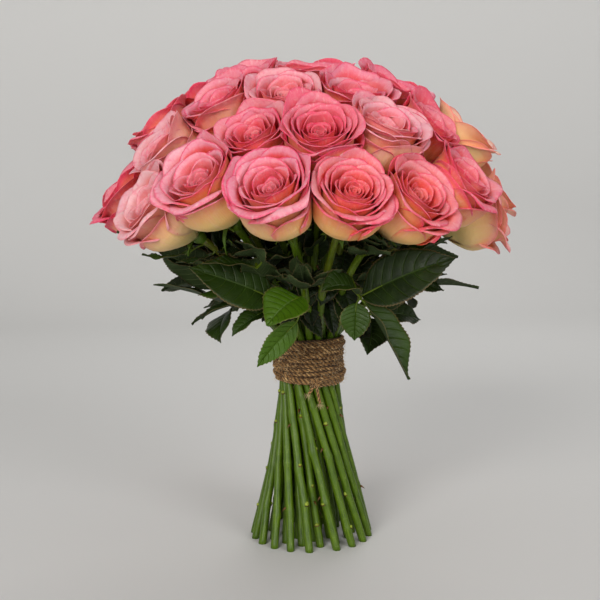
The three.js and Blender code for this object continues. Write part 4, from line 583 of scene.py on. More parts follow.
def petal_plan(rng, open_, n_heart, n_mid, n_outer):
    """Heart, middle cups and reflexed outer petals, from the axis outwards. Lengths in mm, angles in degrees."""
    plan = []
    for j in range(n_heart):
        s = j / (n_heart - 1)
        plan.append(dict(zone=0, f=0.28 * s, R=1.5 + 6.3 * s ** 0.9, W=7.0 + 6.5 * s, H=56.5 + 1.5 * s - 4.5 * open_ * (1 - 0.4 * s), lean=1 + 3 * s,
                         curl=1.0 + 1.6 * s, turn=10 + 22 * s, drop=0.10, tip=0.0))
    for j in range(n_mid):
        s = j / (n_mid - 1)
        plan.append(dict(zone=1, f=0.34 + 0.30 * s, R=10.2 + 8.6 * s + rng.normal(0, 0.45), W=17 + 7 * s, H=58.0 + 1.2 * math.sin(math.pi * s) + rng.normal(0, 0.8),
                         lean=4 + 8 * s * (0.5 + open_ * 0.7), curl=2.8 + 2.8 * s, turn=24 + 34 * s, drop=0.15, tip=0.3 + 0.8 * s))
    for j in range(n_outer):
        s = j / (n_outer - 1)
        plan.append(dict(zone=2, f=0.72 + 0.28 * s, R=20.4 + 5.4 * s, W=26 + 5.5 * s, H=56.8 - 4.0 * s + rng.normal(0, 0.9),
                         lean=8 - 1.5 * s, curl=7.6 + 7.6 * s * (0.40 + 0.75 * open_), turn=72 + 46 * s, drop=0.18 + 0.05 * s, tip=1.6 + 3.2 * s * rng.random() ** 1.5))
    for j in range(3):
        plan.append(dict(zone=3, f=1.0, R=27.2 + 1.0 * j, roll=(0.2, 0.4, 1.9)[j], W=27 + 4 * rng.random(), H=51.5 - 7.0 * rng.random(), lean=5.0 + 2 * rng.random(), curl=6.0 + 4.0 * rng.random(),
                         turn=60 + 30 * rng.random(), drop=0.22, tip=0.5 + 2.5 * rng.random(), theta=math.radians((-62, 38, 118)[j] + rng.normal(0, 22))))
    return plan


def petal_grid(rng, p, open_, theta):
    """One petal in the rose's own frame, mm: the foot at the axis, z up."""
    f, Rc, zone = p["f"], p["R"], p["zone"]
    down = 0.5 * (1 + math.cos(theta))           # 1 on the side that looks down and out, 0 towards the crown
    r0 = 1.0 + 3.8 * f
    z0 = 12.0 - 4.0 * f
    H = p["H"]
    turn = math.radians(p["turn"]) * rng.uniform(0.86, 1.14)
    curl_len = p["curl"] * rng.uniform(0.88, 1.15)
    if zone == 2:
        H += 4.2 * (1 - down) - 0.6 * down
        turn *= 0.46 + 0.54 * down
        curl_len *= 0.85 + 0.15 * down
    psi = min(p["W"] * rng.uniform(0.93, 1.07) / max(Rc, 1.0), 2.9)
    lean = math.radians(p["lean"])
    vc = {0: 0.86, 1: 0.78, 2: 0.66, 3: 0.64}[zone]
    nb = 10
    v = np.concatenate([vc * np.linspace(0, 1, nb) ** 0.9, np.linspace(vc, 1, NV - nb + 1)[1:]])
    u = np.linspace(-1, 1, NU)
    u = np.sign(u) * np.abs(u) ** 0.92
    U, Vv = np.meshgrid(u, v, indexing="ij")
    aU = np.abs(U)
    ph = rng.uniform(0, 2 * math.pi, 8)
    skew = rng.uniform(-0.24, 0.24)
    top = 1 - p["drop"] * np.abs(U - skew * (1 - aU)) ** 3.2
    top = top + 0.012 * np.sin(3.0 * U + ph[0]) + 0.006 * np.sin(9 * U + ph[1])
    ztop = z0 + (H - z0) * top
    q = np.clip(Vv / vc, 0, 1)
    z = z0 + (ztop - z0) * q ** 1.2
    h = np.clip((z - z0) / (56.0 - z0), 0, 1.1)
    rise = np.sin(math.pi / 2 * np.clip(h / 0.58, 0, 1)) ** 0.92
    belly = 1 + 0.045 * np.sin(math.pi * np.clip((h - 0.25) / 0.75, 0, 1)) * f
    r = r0 + (Rc - r0) * rise * belly
    r = r + np.tan(lean) * np.clip(z - 38.0, 0, None) * smooth((z - 36) / 10)
    # the rim turns outwards: broad in the middle of the petal, little at its corners
    t = np.clip((Vv - vc) / (1 - vc), 0, 1)
    cl = curl_len * (0.24 + 0.76 * (1 - aU ** 2.4)) + p["tip"] * np.exp(-((U - 1.6 * skew) / (0.24 if zone < 3 else 0.42)) ** 2)
    tn = turn * (1 - 0.50 * aU ** 3)
    # a lip starts gently and tightens
    tt = t ** 1.0
    r = r + cl / tn * (math.cos(lean) - np.cos(lean + tn * tt))
    z = z + cl / tn * (np.sin(lean + tn * tt) - math.sin(lean))
    # side margins stand a little off the petal below
    r = r + (0.15 + 1.2 * f ** 2) * smooth((aU - 0.60) / 0.40) ** 1.5 * smooth((Vv - 0.62) / 0.38)
    if zone == 3:
        r = r + p["roll"] * smooth((aU - 0.66) / 0.34) ** 1.5 * smooth((Vv - 0.30) / 0.45)
    # spiral: one edge in, the other out
    r = r + (0.24 + 0.16 * f) * psi * U
    # ruffles along the rim and slow dents
    amp = (0.24 + 1.25 * f ** 1.3) * (0.5 + 0.8 * open_)
    k1, k2, k3 = 3.0 + 3.0 * rng.random(), 8.0 + 4.0 * rng.random(), 5 + 3 * rng.random()
    crimp = rng.random() ** 2
    if zone == 3:
        amp, crimp = 0.55 * amp, 0.0
    wave = np.sin(U * k1 + ph[2]) * 0.6 + np.sin(U * k2 + ph[3]) * 0.25 + crimp * 0.35 * np.sin(U * (16 + 6 * crimp) + ph[6])
    rim = smooth((Vv - vc + 0.12) / (1.12 - vc))
    r = r + amp * wave * rim
    z = z + 0.6 * amp * np.sin(U * k3 + ph[4]) * rim
    r = r + (0.18 + 0.10 * f) * np.sin(2.0 * U + 3.0 * Vv + ph[5]) * smooth(Vv / 0.5) + (0.5 * f) * np.sin(2.6 * U + ph[7]) * smooth((Vv - 0.55) / 0.4)
    for _ in range(5):
        cu, cv, su, sv = rng.uniform(-0.9, 0.9), rng.uniform(0.55, 1.0), rng.uniform(0.10, 0.30), rng.uniform(0.06, 0.20)
        r = r + rng.normal(0, 0.30 + 0.45 * f) * np.exp(-((U - cu) / su) ** 2 - ((Vv - cv) / sv) ** 2)
    r = np.maximum(r, 0.5)
    g = 0.50 + 0.50 * smooth(Vv / 0.5) - 0.06 * t
    th = theta + psi * U * g + 0.04 * np.sin(4 * Vv + ph[6])
    P = np.stack([r * np.cos(th), r * np.sin(th), z], -1)
    return P, U, Vv


NEAR = []
for i in range(N_ROSES):
    c = HIP + AXIS * (42 * SIZE)[:, None]
    d = np.linalg.norm(c - c[i], axis=1)
    NEAR.append([j for j in range(N_ROSES) if j != i and d[j] < 82])


def press(i, P):
    """Petals of neighbouring blooms press on each other and flatten where they meet."""
    for j in NEAR[i]:
        ci = HIP[i] + AXIS[i] * 42 * SIZE[i]
        cj = HIP[j] + AXIS[j] * 42 * SIZE[j]
        b = unit(AXIS[i] + AXIS[j])
        n = cj - ci
        n = unit(n - b * (n @ b))
        mid = (ci + cj) / 2
        d = (P - mid) @ n
        m = 3.2
        d = d - 0.6
        x = np.clip(d + m, 0, None)
        want = np.where(d > -m, -m + (m - 0.2) * (1 - np.exp(-x / m)), d)
        P = P + (want - d)[..., None] * n
    return P


def hold_in(P):
    """Lips at the outside of the dome stay close to it."""
    Q = P + SHIFT
    for c, lim in ((0, 192.5), (1, 194.0)):
        x = Q[..., c]
        over = np.clip(np.abs(x) - (lim - 5.0), 0, None)
        Q[..., c] = np.sign(x) * (np.abs(x) - over + 5.0 * (1 - np.exp(-over / 5.0)))
    return Q - SHIFT


def rose_head(i):
    rng = np.random.default_rng(1000 + i)
    open_, pale, deep, warm, n = LOOK[i]
    e1, e2, e3 = head_frame(i)
    parts = Parts()
    th0 = rng.uniform(0, 2 * math.pi)
    plan = petal_plan(rng, open_, 8, n - 23, 8)
    tilt_x, tilt_y = rng.normal(0, 0.030, 2)
    for k, p in enumerate(plan):
        f = p["f"]
        theta = th0 + k * 2.399963 + rng.normal(0, 0.16)
        theta = p.get("theta", theta)
        theta = (theta + math.pi) % (2 * math.pi) - math.pi
        P, U, V = petal_grid(rng, p, open_, theta)
        P = P * SIZE[i]
        # the heart is never quite in the middle
        w = np.clip((P[..., 2] - 15) / 40, 0, 1) * (1 - f)
        P[..., 0] += w * tilt_x * 60
        P[..., 1] += w * tilt_y * 60
        W = HIP[i] + P[..., 0:1] * e1 + P[..., 1:2] * e2 + P[..., 2:3] * e3
        W = hold_in(press(i, W))
        verts, faces = sheet_solid(W, 0.42 if f > 0.3 else 0.34, 0.4)
        nn = U.size
        a = np.zeros((2 * nn, 4))
        a[:, 0] = np.tile(V.ravel(), 2)
        a[:, 1] = np.tile(U.ravel() * 0.5 + 0.5, 2)
        a[:nn, 2] = 1.0
        a[:, 3] = f
        rr = rng.random()
        parts.add(verts, faces, None, a, [rr, np.clip(pale + rng.normal(0.02, 0.10), 0, 1), deep if deep < 0 else np.clip(deep + rng.normal(0, 0.07), 0, 1), warm])
    return parts


def blade(base, tip, up, width, bend, fold, rows, cols, teeth=0, twist=0.0, ripple=0.0, seed=0, joint=None, shape=0.78):
    """A leaf blade as a grid (across, along). Returns points, across, along."""
    base, tip = np.array(base, float), np.array(tip, float)
    chord = tip - base
    length = np.linalg.norm(chord)
    D = chord / length
    Nn = np.array(up, float)
    Nn = unit(Nn - D * (Nn @ D))
    S = np.cross(D, Nn)
    k = math.radians(bend)
    arc = length if abs(k) < 1e-3 else length * (k / 2) / math.sin(k / 2)
    m = 160
    aa = k / 2 - k * (np.arange(m) + 0.5) / m
    line = np.vstack([base, base + np.cumsum((D[None] * np.cos(aa)[:, None] + Nn[None] * np.sin(aa)[:, None]) * arc / m, axis=0)])
    rng = np.random.default_rng(seed)
    ph = rng.uniform(0, 2 * math.pi, 6)
    t = np.linspace(0, 1, rows)
    x = np.linspace(-1, 1, cols)
    X, Tt = np.meshgrid(x, t, indexing="ij")
    C = np.stack([np.interp(Tt * m, np.arange(m + 1), line[:, c]) for c in range(3)], -1)
    a = k / 2 - k * Tt
    NT = -D * np.sin(a)[..., None] + Nn * np.cos(a)[..., None]
    w = (width / 2) * np.sin(math.pi * np.clip(Tt, 0, 1) ** shape) ** 0.85
    w = w * (1 - 0.35 * smooth((Tt - 0.80) / 0.2))
    w = np.maximum(w, 0.35)
    if teeth:
        saw = (Tt * teeth) % 1.0
        w = w + np.where(np.abs(X) > 0.99, 1.25 * saw - 0.4, 0) * smooth((Tt - 0.04) / 0.1) * smooth((1 - Tt) / 0.06)
    f = math.radians(fold) * (1 - 0.25 * Tt)
    lat = X * w * np.cos(f)
    upv = np.abs(X) * w * np.sin(f)
    # the blade rises between its side veins, and its margin waves
    veins = np.sin(math.pi * (((Tt - 0.16 * np.abs(X) ** 1.35) * 8.5) % 1.0))
    upv = upv + 0.45 * (veins - 0.5) * (1 - np.abs(X) ** 3) * smooth(np.abs(X) / 0.15) * (width / 40) * smooth(Tt / 0.15)
    upv = upv + ripple * np.abs(X) ** 2 * (np.sin(9 * Tt + ph[0] + 1.5 * np.sign(X)) * 0.6 + 0.4 * np.sin(17 * Tt + ph[1] * np.sign(X)))
    upv = upv - 0.6 * np.exp(-(X / 0.08) ** 2)
    if twist:
        tw = math.radians(twist) * Tt
        lat, upv = lat * np.cos(tw) - upv * np.sin(tw), lat * np.sin(tw) + upv * np.cos(tw)
    P = C + S * lat[..., None] + NT * upv[..., None]
    return P, X, Tt, line


def add_blade(parts, thick, rnd, tone, young, mat=0, plain=False, **kw):
    P, X, Tt, line = blade(**kw)
    verts, faces = sheet_solid(P, thick, 0.35)
    nn = X.size
    a = np.zeros((2 * nn, 4))
    a[:, 0] = np.tile(Tt.ravel(), 2)
    a[:, 1] = np.tile(X.ravel() * 0.5 + 0.5, 2)
    if plain:
        parts.add(verts, faces, None, a, [rnd, 0.04, tone, 0], mat)
        return line
    a[:nn, 2] = 1.0
    a[:, 3] = rnd
    parts.add(verts, faces, None, a, [1, tone, young, 0], mat)
    return line


def lathe(profile, sides, origin, e1, e2, e3, rough=0.0, seed=0):
    profile = np.array(profile, float)
    ang = np.arange(sides) * 2 * math.pi / sides
    rng = np.random.default_rng(seed)
    ph = rng.uniform(0, 6.28, 3)
    m = len(profile)
    R = profile[:, 0][:, None] * (1 + rough * (np.sin(3 * ang + ph[0]) + 0.6 * np.sin(5 * ang + ph[1]))[None])
    V = origin + (R[..., None] * (np.cos(ang)[None, :, None] * e1 + np.sin(ang)[None, :, None] * e2)) + profile[:, 1][:, None, None] * e3
    V = V.reshape(-1, 3)
    i, j = np.meshgrid(np.arange(m - 1), np.arange(sides), indexing="ij")
    k = i * sides + j
    k2 = i * sides + (j + 1) % sides
    Q = np.stack([k, k2, k2 + sides, k + sides], -1).reshape(-1, 4)
    V = np.vstack([V, origin + e3 * profile[0, 1], origin + e3 * profile[-1, 1]])
    c0, c1 = m * sides, m * sides + 1
    j = np.arange(sides)
    T = np.vstack([np.stack([np.full(sides, c0), (j + 1) % sides, j], 1), np.stack([np.full(sides, c1), (m - 1) * sides + j, (m - 1) * sides + (j + 1) % sides], 1)])
    return V, Q, T


def rose_green(i):
    """Stem with nodes and thorn scars, hip and sepals of one rose."""
    rng = np.random.default_rng(3000 + i)
    s = SIZE[i]
    parts = Parts()
    e1, e2, e3 = head_frame(i)
    path = resample(np.array(ROSES[i]["stem"]), 2.6)
    path = soften(path, 6)
    path[0, 2] = 0.0
    L = np.concatenate([[0], np.cumsum(np.linalg.norm(np.diff(path, axis=0), axis=1))])
    total = L[-1]
    t = L / total
    rad = np.interp(t, [0, 0.35, 0.55, 0.85, 0.97, 1.0], [3.5, 3.32, 3.22, 3.05, 2.9, 3.4])
    # nodes: a slight swelling every 35 to 70 mm, with a bud scar or a thorn scar
    nodes_at = []
    p = rng.uniform(12, 48)
    while p < total * 0.93:
        nodes_at.append(p)
        p += rng.uniform(30, 66)
    in_tie = (path[:, 2] > 132) & (path[:, 2] < 186)
    for p in nodes_at:
        bump = rng.uniform(0.35, 0.7) * np.exp(-((L - p) / 2.8) ** 2)
        rad = rad + np.where(in_tie, 0, bump)
    # the stem's faint kinks at its nodes
    T, Nn, B = frames_along(path)
    kink = np.zeros_like(path)
    for p in nodes_at:
        a = rng.uniform(0, 2 * math.pi)
        size = rng.uniform(0.5, 1.3)
        prof = np.exp(-np.abs(L - p) / 14.0) * size
        kink += prof[:, None] * (Nn * math.cos(a) + B * math.sin(a))
    fade = smooth(L / 30) * smooth((total - L) / 40) * smooth(np.abs(path[:, 2] - 159) / 26 - 1.0)
    path = path + kink * fade[:, None]
    path[0, 2] = 0.0
    sides = 12
    ang = np.arange(sides) * 2 * math.pi / sides
    r2 = rad[:, None] * (1 + 0.025 * np.sin(2 * ang + rng.uniform(0, 6))[None] + 0.02 * np.sin(3 * ang[None] + 0.05 * L[:, None]))
    V, Q, Tr = tube(path, r2, sides)
    # the cut is level: the first ring lies on the ground plane
    V[:sides, 2] = 0.0
    V[len(path) * sides, 2] = 0.0
    a = np.zeros((len(V), 4))
    m = len(path)
    a[: m * sides, 0] = np.repeat(t, sides)
    a[: m * sides, 1] = np.tile(np.abs(np.linspace(-1, 1, sides, endpoint=False)), m)
    a[m * sides + 1, 0] = 1
    a[m * sides, 3] = 1
    b = np.array([rng.random(), 0.0, 0.0, 0.0])
    bb = np.broadcast_to(b, (len(V), 4)).copy()
    bb[: m * sides, 1] = np.repeat(np.clip(smooth((t - 0.62) / 0.3) * rng.uniform(0.0, 0.4), 0, 1), sides)
    parts.add(V, Q, Tr, a, bb, 0)
    # thorn scars and bud scars
    for p in nodes_at:
        k = int(np.searchsorted(L, p))
        k = min(max(k, 2), m - 3)
        if 130 < path[k, 2] < 188:
            continue
        for rep in range(1 if rng.random() < 0.7 else 2):
            a0 = rng.uniform(0, 2 * math.pi)
            nrm = Nn[k] * math.cos(a0) + B[k] * math.sin(a0)
            along = T[k]
            across = np.cross(along, nrm)
            c = path[k] + nrm * (rad[k] - 0.2) + along * rng.uniform(-1.5, 1.5)
            w, h, d = rng.uniform(1.7, 2.7), rng.uniform(1.2, 1.9), rng.uniform(0.9, 1.5)
            prof = [[0.001, -d], [0.75, -d * 0.6], [1.0, 0.0], [0.7, d * 0.62], [0.28, d * 0.9], [0.001, d]]
            one = (np.zeros(3), np.array([1.0, 0, 0]), np.array([0, 1.0, 0]), np.array([0, 0, 1.0]))
            # the bud, and the dark leaf scar under it
            Vs, Qs, Ts = lathe(prof, 10, *one, 0.06, int(rng.integers(1e6)))
            Vb = c + Vs[:, 0:1] * w * 0.8 * across + Vs[:, 1:2] * h * along + Vs[:, 2:3] * nrm
            parts.add(Vb, Qs, Ts, [0.5, 0.5, 0.0, 0.0], [rng.random(), 0.2, rng.uniform(0.3, 1.0), 0], 0)
            Vb = c - along * (h * 1.05) + Vs[:, 0:1] * w * 1.05 * across + Vs[:, 1:2] * 0.55 * along - along * (np.abs(Vs[:, 0:1]) ** 2 * -0.7) + Vs[:, 2:3] * 0.62 * nrm
            parts.add(Vb, Qs, Ts, [0.5, 0.5, 1.0, 0.0], [rng.random(), 0.2, 0, 0], 0)
        if rng.random() < 0.35:
            a0 = rng.uniform(0, 2 * math.pi)
            nrm = Nn[k] * math.cos(a0) + B[k] * math.sin(a0)
            kk = min(max(k + int(rng.integers(-6, 6)), 2), m - 3)
            c = path[kk] + nrm * (rad[kk] - 0.4)
            down = unit(nrm * 0.86 - T[kk] * 0.5)
            pts = np.array([c, c + down * 1.6, c + down * 3.0 - T[kk] * 0.5, c + down * 4.0 - T[kk] * 1.1])
            Vt, Qt, Tt_ = tube(pts, np.array([1.25, 0.8, 0.38, 0.06]), 7)
            parts.add(Vt, Qt, Tt_, [0.5, 0.5, 0.55, 0.0], [rng.random(), 0.8, 0, 0], 0)
    # hip
    prof = [[0.4, -3.0], [2.9 / s, -2.6], [3.0 / s, -0.6], [4.2, 1.4], [5.4, 3.8], [5.9, 6.0], [5.6, 8.2], [4.7, 9.6], [4.3, 10.6], [0.4, 10.9]]
    prof = [[r * s, z * s] for r, z in prof]
    Vh, Qh, Th = lathe(prof, 20, HIP[i], e1, e2, e3, 0.015, i)
    parts.add(Vh, Qh, Th, [0.3, 0.5, 0, 0], [rng.random(), 0.05, 0, 0], 1)
    # five sepals round the top of the hip, bent back by the open petals
    th0 = rng.uniform(0, 2 * math.pi)
    for k in range(5):
        th = th0 + k * 2 * math.pi * 2 / 5 + rng.normal(0, 0.12)
        rd = e1 * math.cos(th) + e2 * math.sin(th)
        base = HIP[i] + (rd * 4.4 + e3 * 9.0) * s
        mode = rng.random()
        ln = rng.uniform(13, 23) * s
        if mode < 0.45:      # hangs back along the stem
            d = unit(rd * rng.uniform(0.55, 1.0) - e3 * rng.uniform(0.45, 1.0))
            bend = rng.uniform(50, 110)
            up = unit(rd * 0.6 + e3 * 0.8)
        else:                # lies out under the petals
            d = unit(rd * 1.0 + e3 * rng.uniform(-0.05, 0.32))
            bend = rng.uniform(-50, 45)
            up = unit(e3 - rd * 0.2)
        if i in (0, 1, 2):
            ln = rng.uniform(9, 13.5)
            d = unit(rd - e3 * rng.uniform(-0.1, 0.45))
            bend = rng.uniform(-80, 80)
            up = unit(e3 + rd * 0.2)
        tipp = base + d * ln
        add_blade(parts, 0.6, rng.random(), 0.0, 0.0, 1, plain=True, base=base, tip=tipp, up=up, width=rng.uniform(4.6, 6.2) * s, bend=bend, fold=rng.uniform(10, 32), rows=22, cols=7, teeth=0, twist=rng.uniform(-50, 50), ripple=0.4, seed=int(rng.integers(1e6)), shape=0.42)
        # feathery side lobes on some sepals
        for q in range(int(rng.integers(1, 4))):
            f0 = rng.uniform(0.3, 0.75)
            c = base + d * ln * f0 * 0.9
            sd = unit(np.cross(d, e3)) * (1 if rng.random() < 0.5 else -1)
            pts = np.array([c + sd * 0.8, c + sd * 2.6 + d * 1.0, c + sd * 4.2 + d * 2.6 + rng.normal(0, 0.4, 3), c + sd * 5.2 + d * 4.6 + rng.normal(0, 0.5, 3)])
            Vt, Qt, Tt_ = tube(pts, np.array([0.45, 0.38, 0.26, 0.1]), 5)
            parts.add(Vt, Qt, Tt_, [0.5, 0.5, 0, 0], [rng.random(), 0.1, 0, 0], 1)
    return parts


for i in range(N_ROSES):
    nm = "%02d" % (i + 1)
    ob = rose_head(i).build("bloom_" + nm, [petal_mat])
    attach(ob, "root")
    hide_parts("rose_" + nm)
    ob = rose_green(i).build("stem_" + nm, [stem_mat, hip_mat])
    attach(ob, "root")
    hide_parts("rose_" + nm)

# ------------------------------------------------------------------ the leaves
for i, leaf in enumerate(LEAVES):
    rng = np.random.default_rng(5000 + i)
    parts = Parts()
    joint = np.array(leaf["joint"], float)
    root = np.array(leaf["root"], float)
    for q, l in enumerate(leaf["leaflets"]):
        length = np.linalg.norm(np.array(l["tip"]) - np.array(l["base"]))
        line = add_blade(parts, 0.45, rng.random(), rng.random(), 0.55 if i == 1 else float(np.clip(rng.normal(0.08, 0.10), 0, 0.35)), 0,
            base=l["base"], tip=l["tip"], up=l["up"], width=l["width"], bend=l["bend"], fold=l["fold"],
            rows=max(40, int(length * 1.35)), cols=15, teeth=int(length / 3.0), twist=rng.uniform(-14, 14), ripple=rng.uniform(1.0, 2.2), seed=int(rng.integers(1e6)))
        pts = np.array([joint, (joint + line[0]) / 2 + rng.normal(0, 0.3, 3), line[0], line[10], line[40]])
        pts = soften(resample(pts, 1.6), 3)
        Vt, Qt, Tt_ = tube(pts, np.linspace(1.05, 0.35, len(pts)), 8)
        parts.add(Vt, Qt, Tt_, [0.5, 0.5, 0, 0], [rng.random(), 0.12, 0, 0], 1)
    d = joint - root
    if np.linalg.norm(d) > 0.5:
        u0 = unit(root - joint)
        pts = soften(resample(np.array([root + u0 * 2.2, root, (joint + root) / 2, joint]), 1.6), 2)
        Vt, Qt, Tt_ = tube(pts, np.linspace(1.5, 1.1, len(pts)), 8)
        parts.add(Vt, Qt, Tt_, [0.5, 0.5, 0, 0], [rng.random(), 0.12, 0, 0], 1)
    nm = "%02d" % (i + 1)
    ob = parts.build("leaves_" + nm, [leaf_mat, stem_mat])
    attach(ob, "root")
    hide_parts("leaf_" + nm)

# more, darker leaves left on the stems between the sprays, close under the blooms
FRONT = [
    {"root": [-15.3, -52.0, 247.7], "base": [-29.8, -66.0, 255.2], "tip": [-64.6, -98.0, 267.4], "up": [0.0, -0.55, 0.83], "width": 21, "bend": -26, "fold": 10, "young": 0.05},
    {"root": [-7.1, -52.0, 247.6], "base": [-2.0, -66.0, 258.1], "tip": [16.0, -96.0, 275.6], "up": [-0.2, -0.55, 0.8], "width": 20, "bend": -24, "fold": 10, "young": 0.05},
    {"root": [30.3, -50.0, 240.3], "base": [35.6, -60.0, 247.4], "tip": [62.4, -92.0, 263.8], "up": [-0.1, -0.6, 0.8], "width": 19, "bend": -24, "fold": 10, "young": 0.03},
    {"root": [-19.8, -46.0, 232.3], "base": [-20.5, -50.0, 236.0], "tip": [-39.1, -60.0, 198.9], "up": [-0.25, -1.0, 0.1], "width": 22, "bend": 22, "fold": 14, "young": 0},
    {"root": [2.9, -48.0, 247.2], "base": [4.5, -52.0, 245.7], "tip": [-4.3, -62.0, 206.9], "up": [0.2, -1.0, 0.15], "width": 21, "bend": 20, "fold": 16, "young": 0},
    {"root": [26.3, -46.0, 240.1], "base": [24.4, -50.0, 238.7], "tip": [35.2, -60.0, 201.2], "up": [0.2, -1.0, 0.1], "width": 21, "bend": 24, "fold": 12, "young": 0},
    {"root": [-7.5, -40.0, 214.8], "base": [-6.7, -43.0, 215.1], "tip": [10.5, -50.0, 183.6], "up": [-0.2, -1.0, 0.1], "width": 16, "bend": 16, "fold": 14, "young": 0},
    {"root": [13.6, -40.0, 214.5], "base": [15.2, -43.0, 216.5], "tip": [20.6, -48.0, 184.8], "up": [0.2, -1.0, 0.1], "width": 15, "bend": 12, "fold": 18, "young": 0},
    {"root": [-57.0, -50.0, 241.5], "base": [-59.9, -56.0, 243.6], "tip": [-89.9, -84.0, 250.5], "up": [0.0, -0.45, 0.9], "width": 20, "bend": -30, "fold": 14, "young": 0.02},
    {"root": [59.4, -50.0, 246.5], "base": [66.8, -60.0, 250.3], "tip": [100.5, -90.0, 265.6], "up": [0.0, -0.7, 0.7], "width": 17, "bend": -20, "fold": 12, "young": 0.45},
    {"root": [79.2, -60.0, 256.7], "base": [84.2, -66.0, 260.1], "tip": [112.8, -92.0, 268.6], "up": [0.1, -0.5, 0.85], "width": 12, "bend": -30, "fold": 20, "young": 0.35},
    {"root": [-7.3, -42.0, 227.7], "base": [-10.7, -46.0, 223.8], "tip": [-22.1, -50.0, 190.8], "up": [-0.3, -1.0, 0.0], "width": 15, "bend": 14, "fold": 12, "young": 0},
    {"root": [-32.0, -50.0, 247.8], "base": [-38.4, -56.0, 248.2], "tip": [-65.8, -74.0, 218.8], "up": [-0.3, -0.9, 0.3], "width": 24, "bend": 26, "fold": 10, "young": 0},
    {"root": [-82.3, -84.0, 267.9], "base": [-111.6, -86.0, 263.7], "tip": [-150.6, -92.0, 276.2], "up": [0.1, -0.3, 0.95], "width": 5.5, "bend": -34, "fold": 24, "young": 0.15},
    {"root": [-82.8, -80.0, 264.6], "base": [-94.5, -84.0, 258.6], "tip": [-131.8, -90.0, 257.8], "up": [0.1, -0.3, 0.95], "width": 5.5, "bend": -46, "fold": 22, "young": 0.25},
    {"root": [-72.8, -76.0, 262.7], "base": [-76.0, -78.0, 256.4], "tip": [-105.3, -88.0, 251.0], "up": [0.0, -0.4, 0.9], "width": 5, "bend": -30, "fold": 20, "young": 0.1},
    {"root": [9.6, -48.0, 247.1], "base": [7.8, -58.0, 251.0], "tip": [3.7, -82.0, 281.0], "up": [0.0, -1.0, 0.35], "width": 22, "bend": 10, "fold": 14, "young": 0},
    {"root": [-60.9, -52.0, 248.3], "base": [-62.8, -60.0, 253.7], "tip": [-77.0, -80.0, 274.1], "up": [0.1, -0.9, 0.5], "width": 24, "bend": 10, "fold": 12, "young": 0},
    {"root": [71.3, -56.0, 251.7], "base": [69.9, -62.0, 256.9], "tip": [71.1, -84.0, 276.9], "up": [0.0, -0.9, 0.5], "width": 22, "bend": 10, "fold": 14, "young": 0},
    {"root": [-38.7, -50.0, 242.9], "base": [-43.6, -54.0, 239.9], "tip": [-82.1, -66.0, 246.1], "up": [0.0, -0.9, 0.5], "width": 26, "bend": 20, "fold": 10, "young": 0},
    {"root": [52.8, -50.0, 246.6], "base": [52.4, -54.0, 243.5], "tip": [72.0, -72.0, 216.7], "up": [0.2, -0.9, 0.4], "width": 26, "bend": 22, "fold": 10, "young": 0},
    {"root": [-64.1, -40.0, 252.7], "base": [-67.1, -44.0, 256.3], "tip": [-88.4, -60.0, 278.6], "up": [0.1, -1.0, 0.3], "width": 26, "bend": 12, "fold": 10, "young": 0},
    {"root": [-57.7, -36.0, 247.4], "base": [-60.8, -40.0, 251.0], "tip": [-77.4, -56.0, 276.8], "up": [0.1, -1.0, 0.3], "width": 24, "bend": 12, "fold": 10, "young": 0},
    {"root": [7.9, -50.0, 243.9], "base": [6.1, -54.0, 242.5], "tip": [-7.5, -66.0, 217.3], "up": [0.0, -1.0, 0.2], "width": 24, "bend": 20, "fold": 12, "young": 0},
    {"root": [17.8, -50.0, 243.8], "base": [19.3, -54.0, 240.7], "tip": [8.8, -64.0, 211.9], "up": [0.1, -1.0, 0.2], "width": 22, "bend": 20, "fold": 12, "young": 0},
    {"root": [-3.1, -44.0, 227.8], "base": [-0.7, -46.0, 223.7], "tip": [2.2, -54.0, 194.3], "up": [0.0, -1.0, 0.1], "width": 18, "bend": 16, "fold": 14, "young": 0},
    {"root": [-15.2, -54.0, 256.1], "base": [-16.9, -58.0, 253.0], "tip": [-13.9, -70.0, 225.9], "up": [-0.1, -1.0, 0.2], "width": 24, "bend": 20, "fold": 12, "young": 0},
    {"root": [36.2, -50.0, 250.2], "base": [39.2, -54.0, 248.7], "tip": [51.4, -66.0, 223.0], "up": [0.1, -1.0, 0.3], "width": 22, "bend": 20, "fold": 12, "young": 0},
    {"root": [24.6, -42.0, 224.7], "base": [26.1, -45.0, 221.5], "tip": [30.4, -54.0, 192.2], "up": [0.1, -1.0, 0.1], "width": 16, "bend": 16, "fold": 14, "young": 0},
    {"root": [30.2, -56.0, 262.1], "base": [30.8, -60.0, 259.0], "tip": [23.5, -72.0, 232.1], "up": [0.1, -1.0, 0.2], "width": 22, "bend": 20, "fold": 12, "young": 0},
]
GROUPS = [Parts() for _ in range(7)]
inner = GROUPS[0]
rng = np.random.default_rng(909)
STEMS = [np.array(r["stem"]) for r in ROSES]


def on_stem(P, z):
    return np.array([np.interp(z, P[:, 2], P[:, 0]), np.interp(z, P[:, 2], P[:, 1]), z])


def in_bloom(p, grow=0.0):
    for j in range(N_ROSES):
        d = p - HIP[j]
        h = d @ AXIS[j]
        if -3 < h < 66 * SIZE[j] and np.linalg.norm(d - h * AXIS[j]) < 7 + 22 * min(1.0, max(0.0, h) / 22) + grow:
            return True
    return False


def leaflet(base, tip, up, width, bend, fold, seed, young=0.0, cols=13):
    r = np.random.default_rng(seed)
    length = np.linalg.norm(np.array(tip) - np.array(base))
    return add_blade(inner, 0.45, r.random(), r.random(), young, 0, base=base, tip=tip, up=up, width=width, bend=bend, fold=fold,
                     rows=max(34, int(length * 1.3)), cols=cols, teeth=int(length / 3.0), twist=r.uniform(-24, 24), ripple=r.uniform(1.0, 2.6), seed=seed)


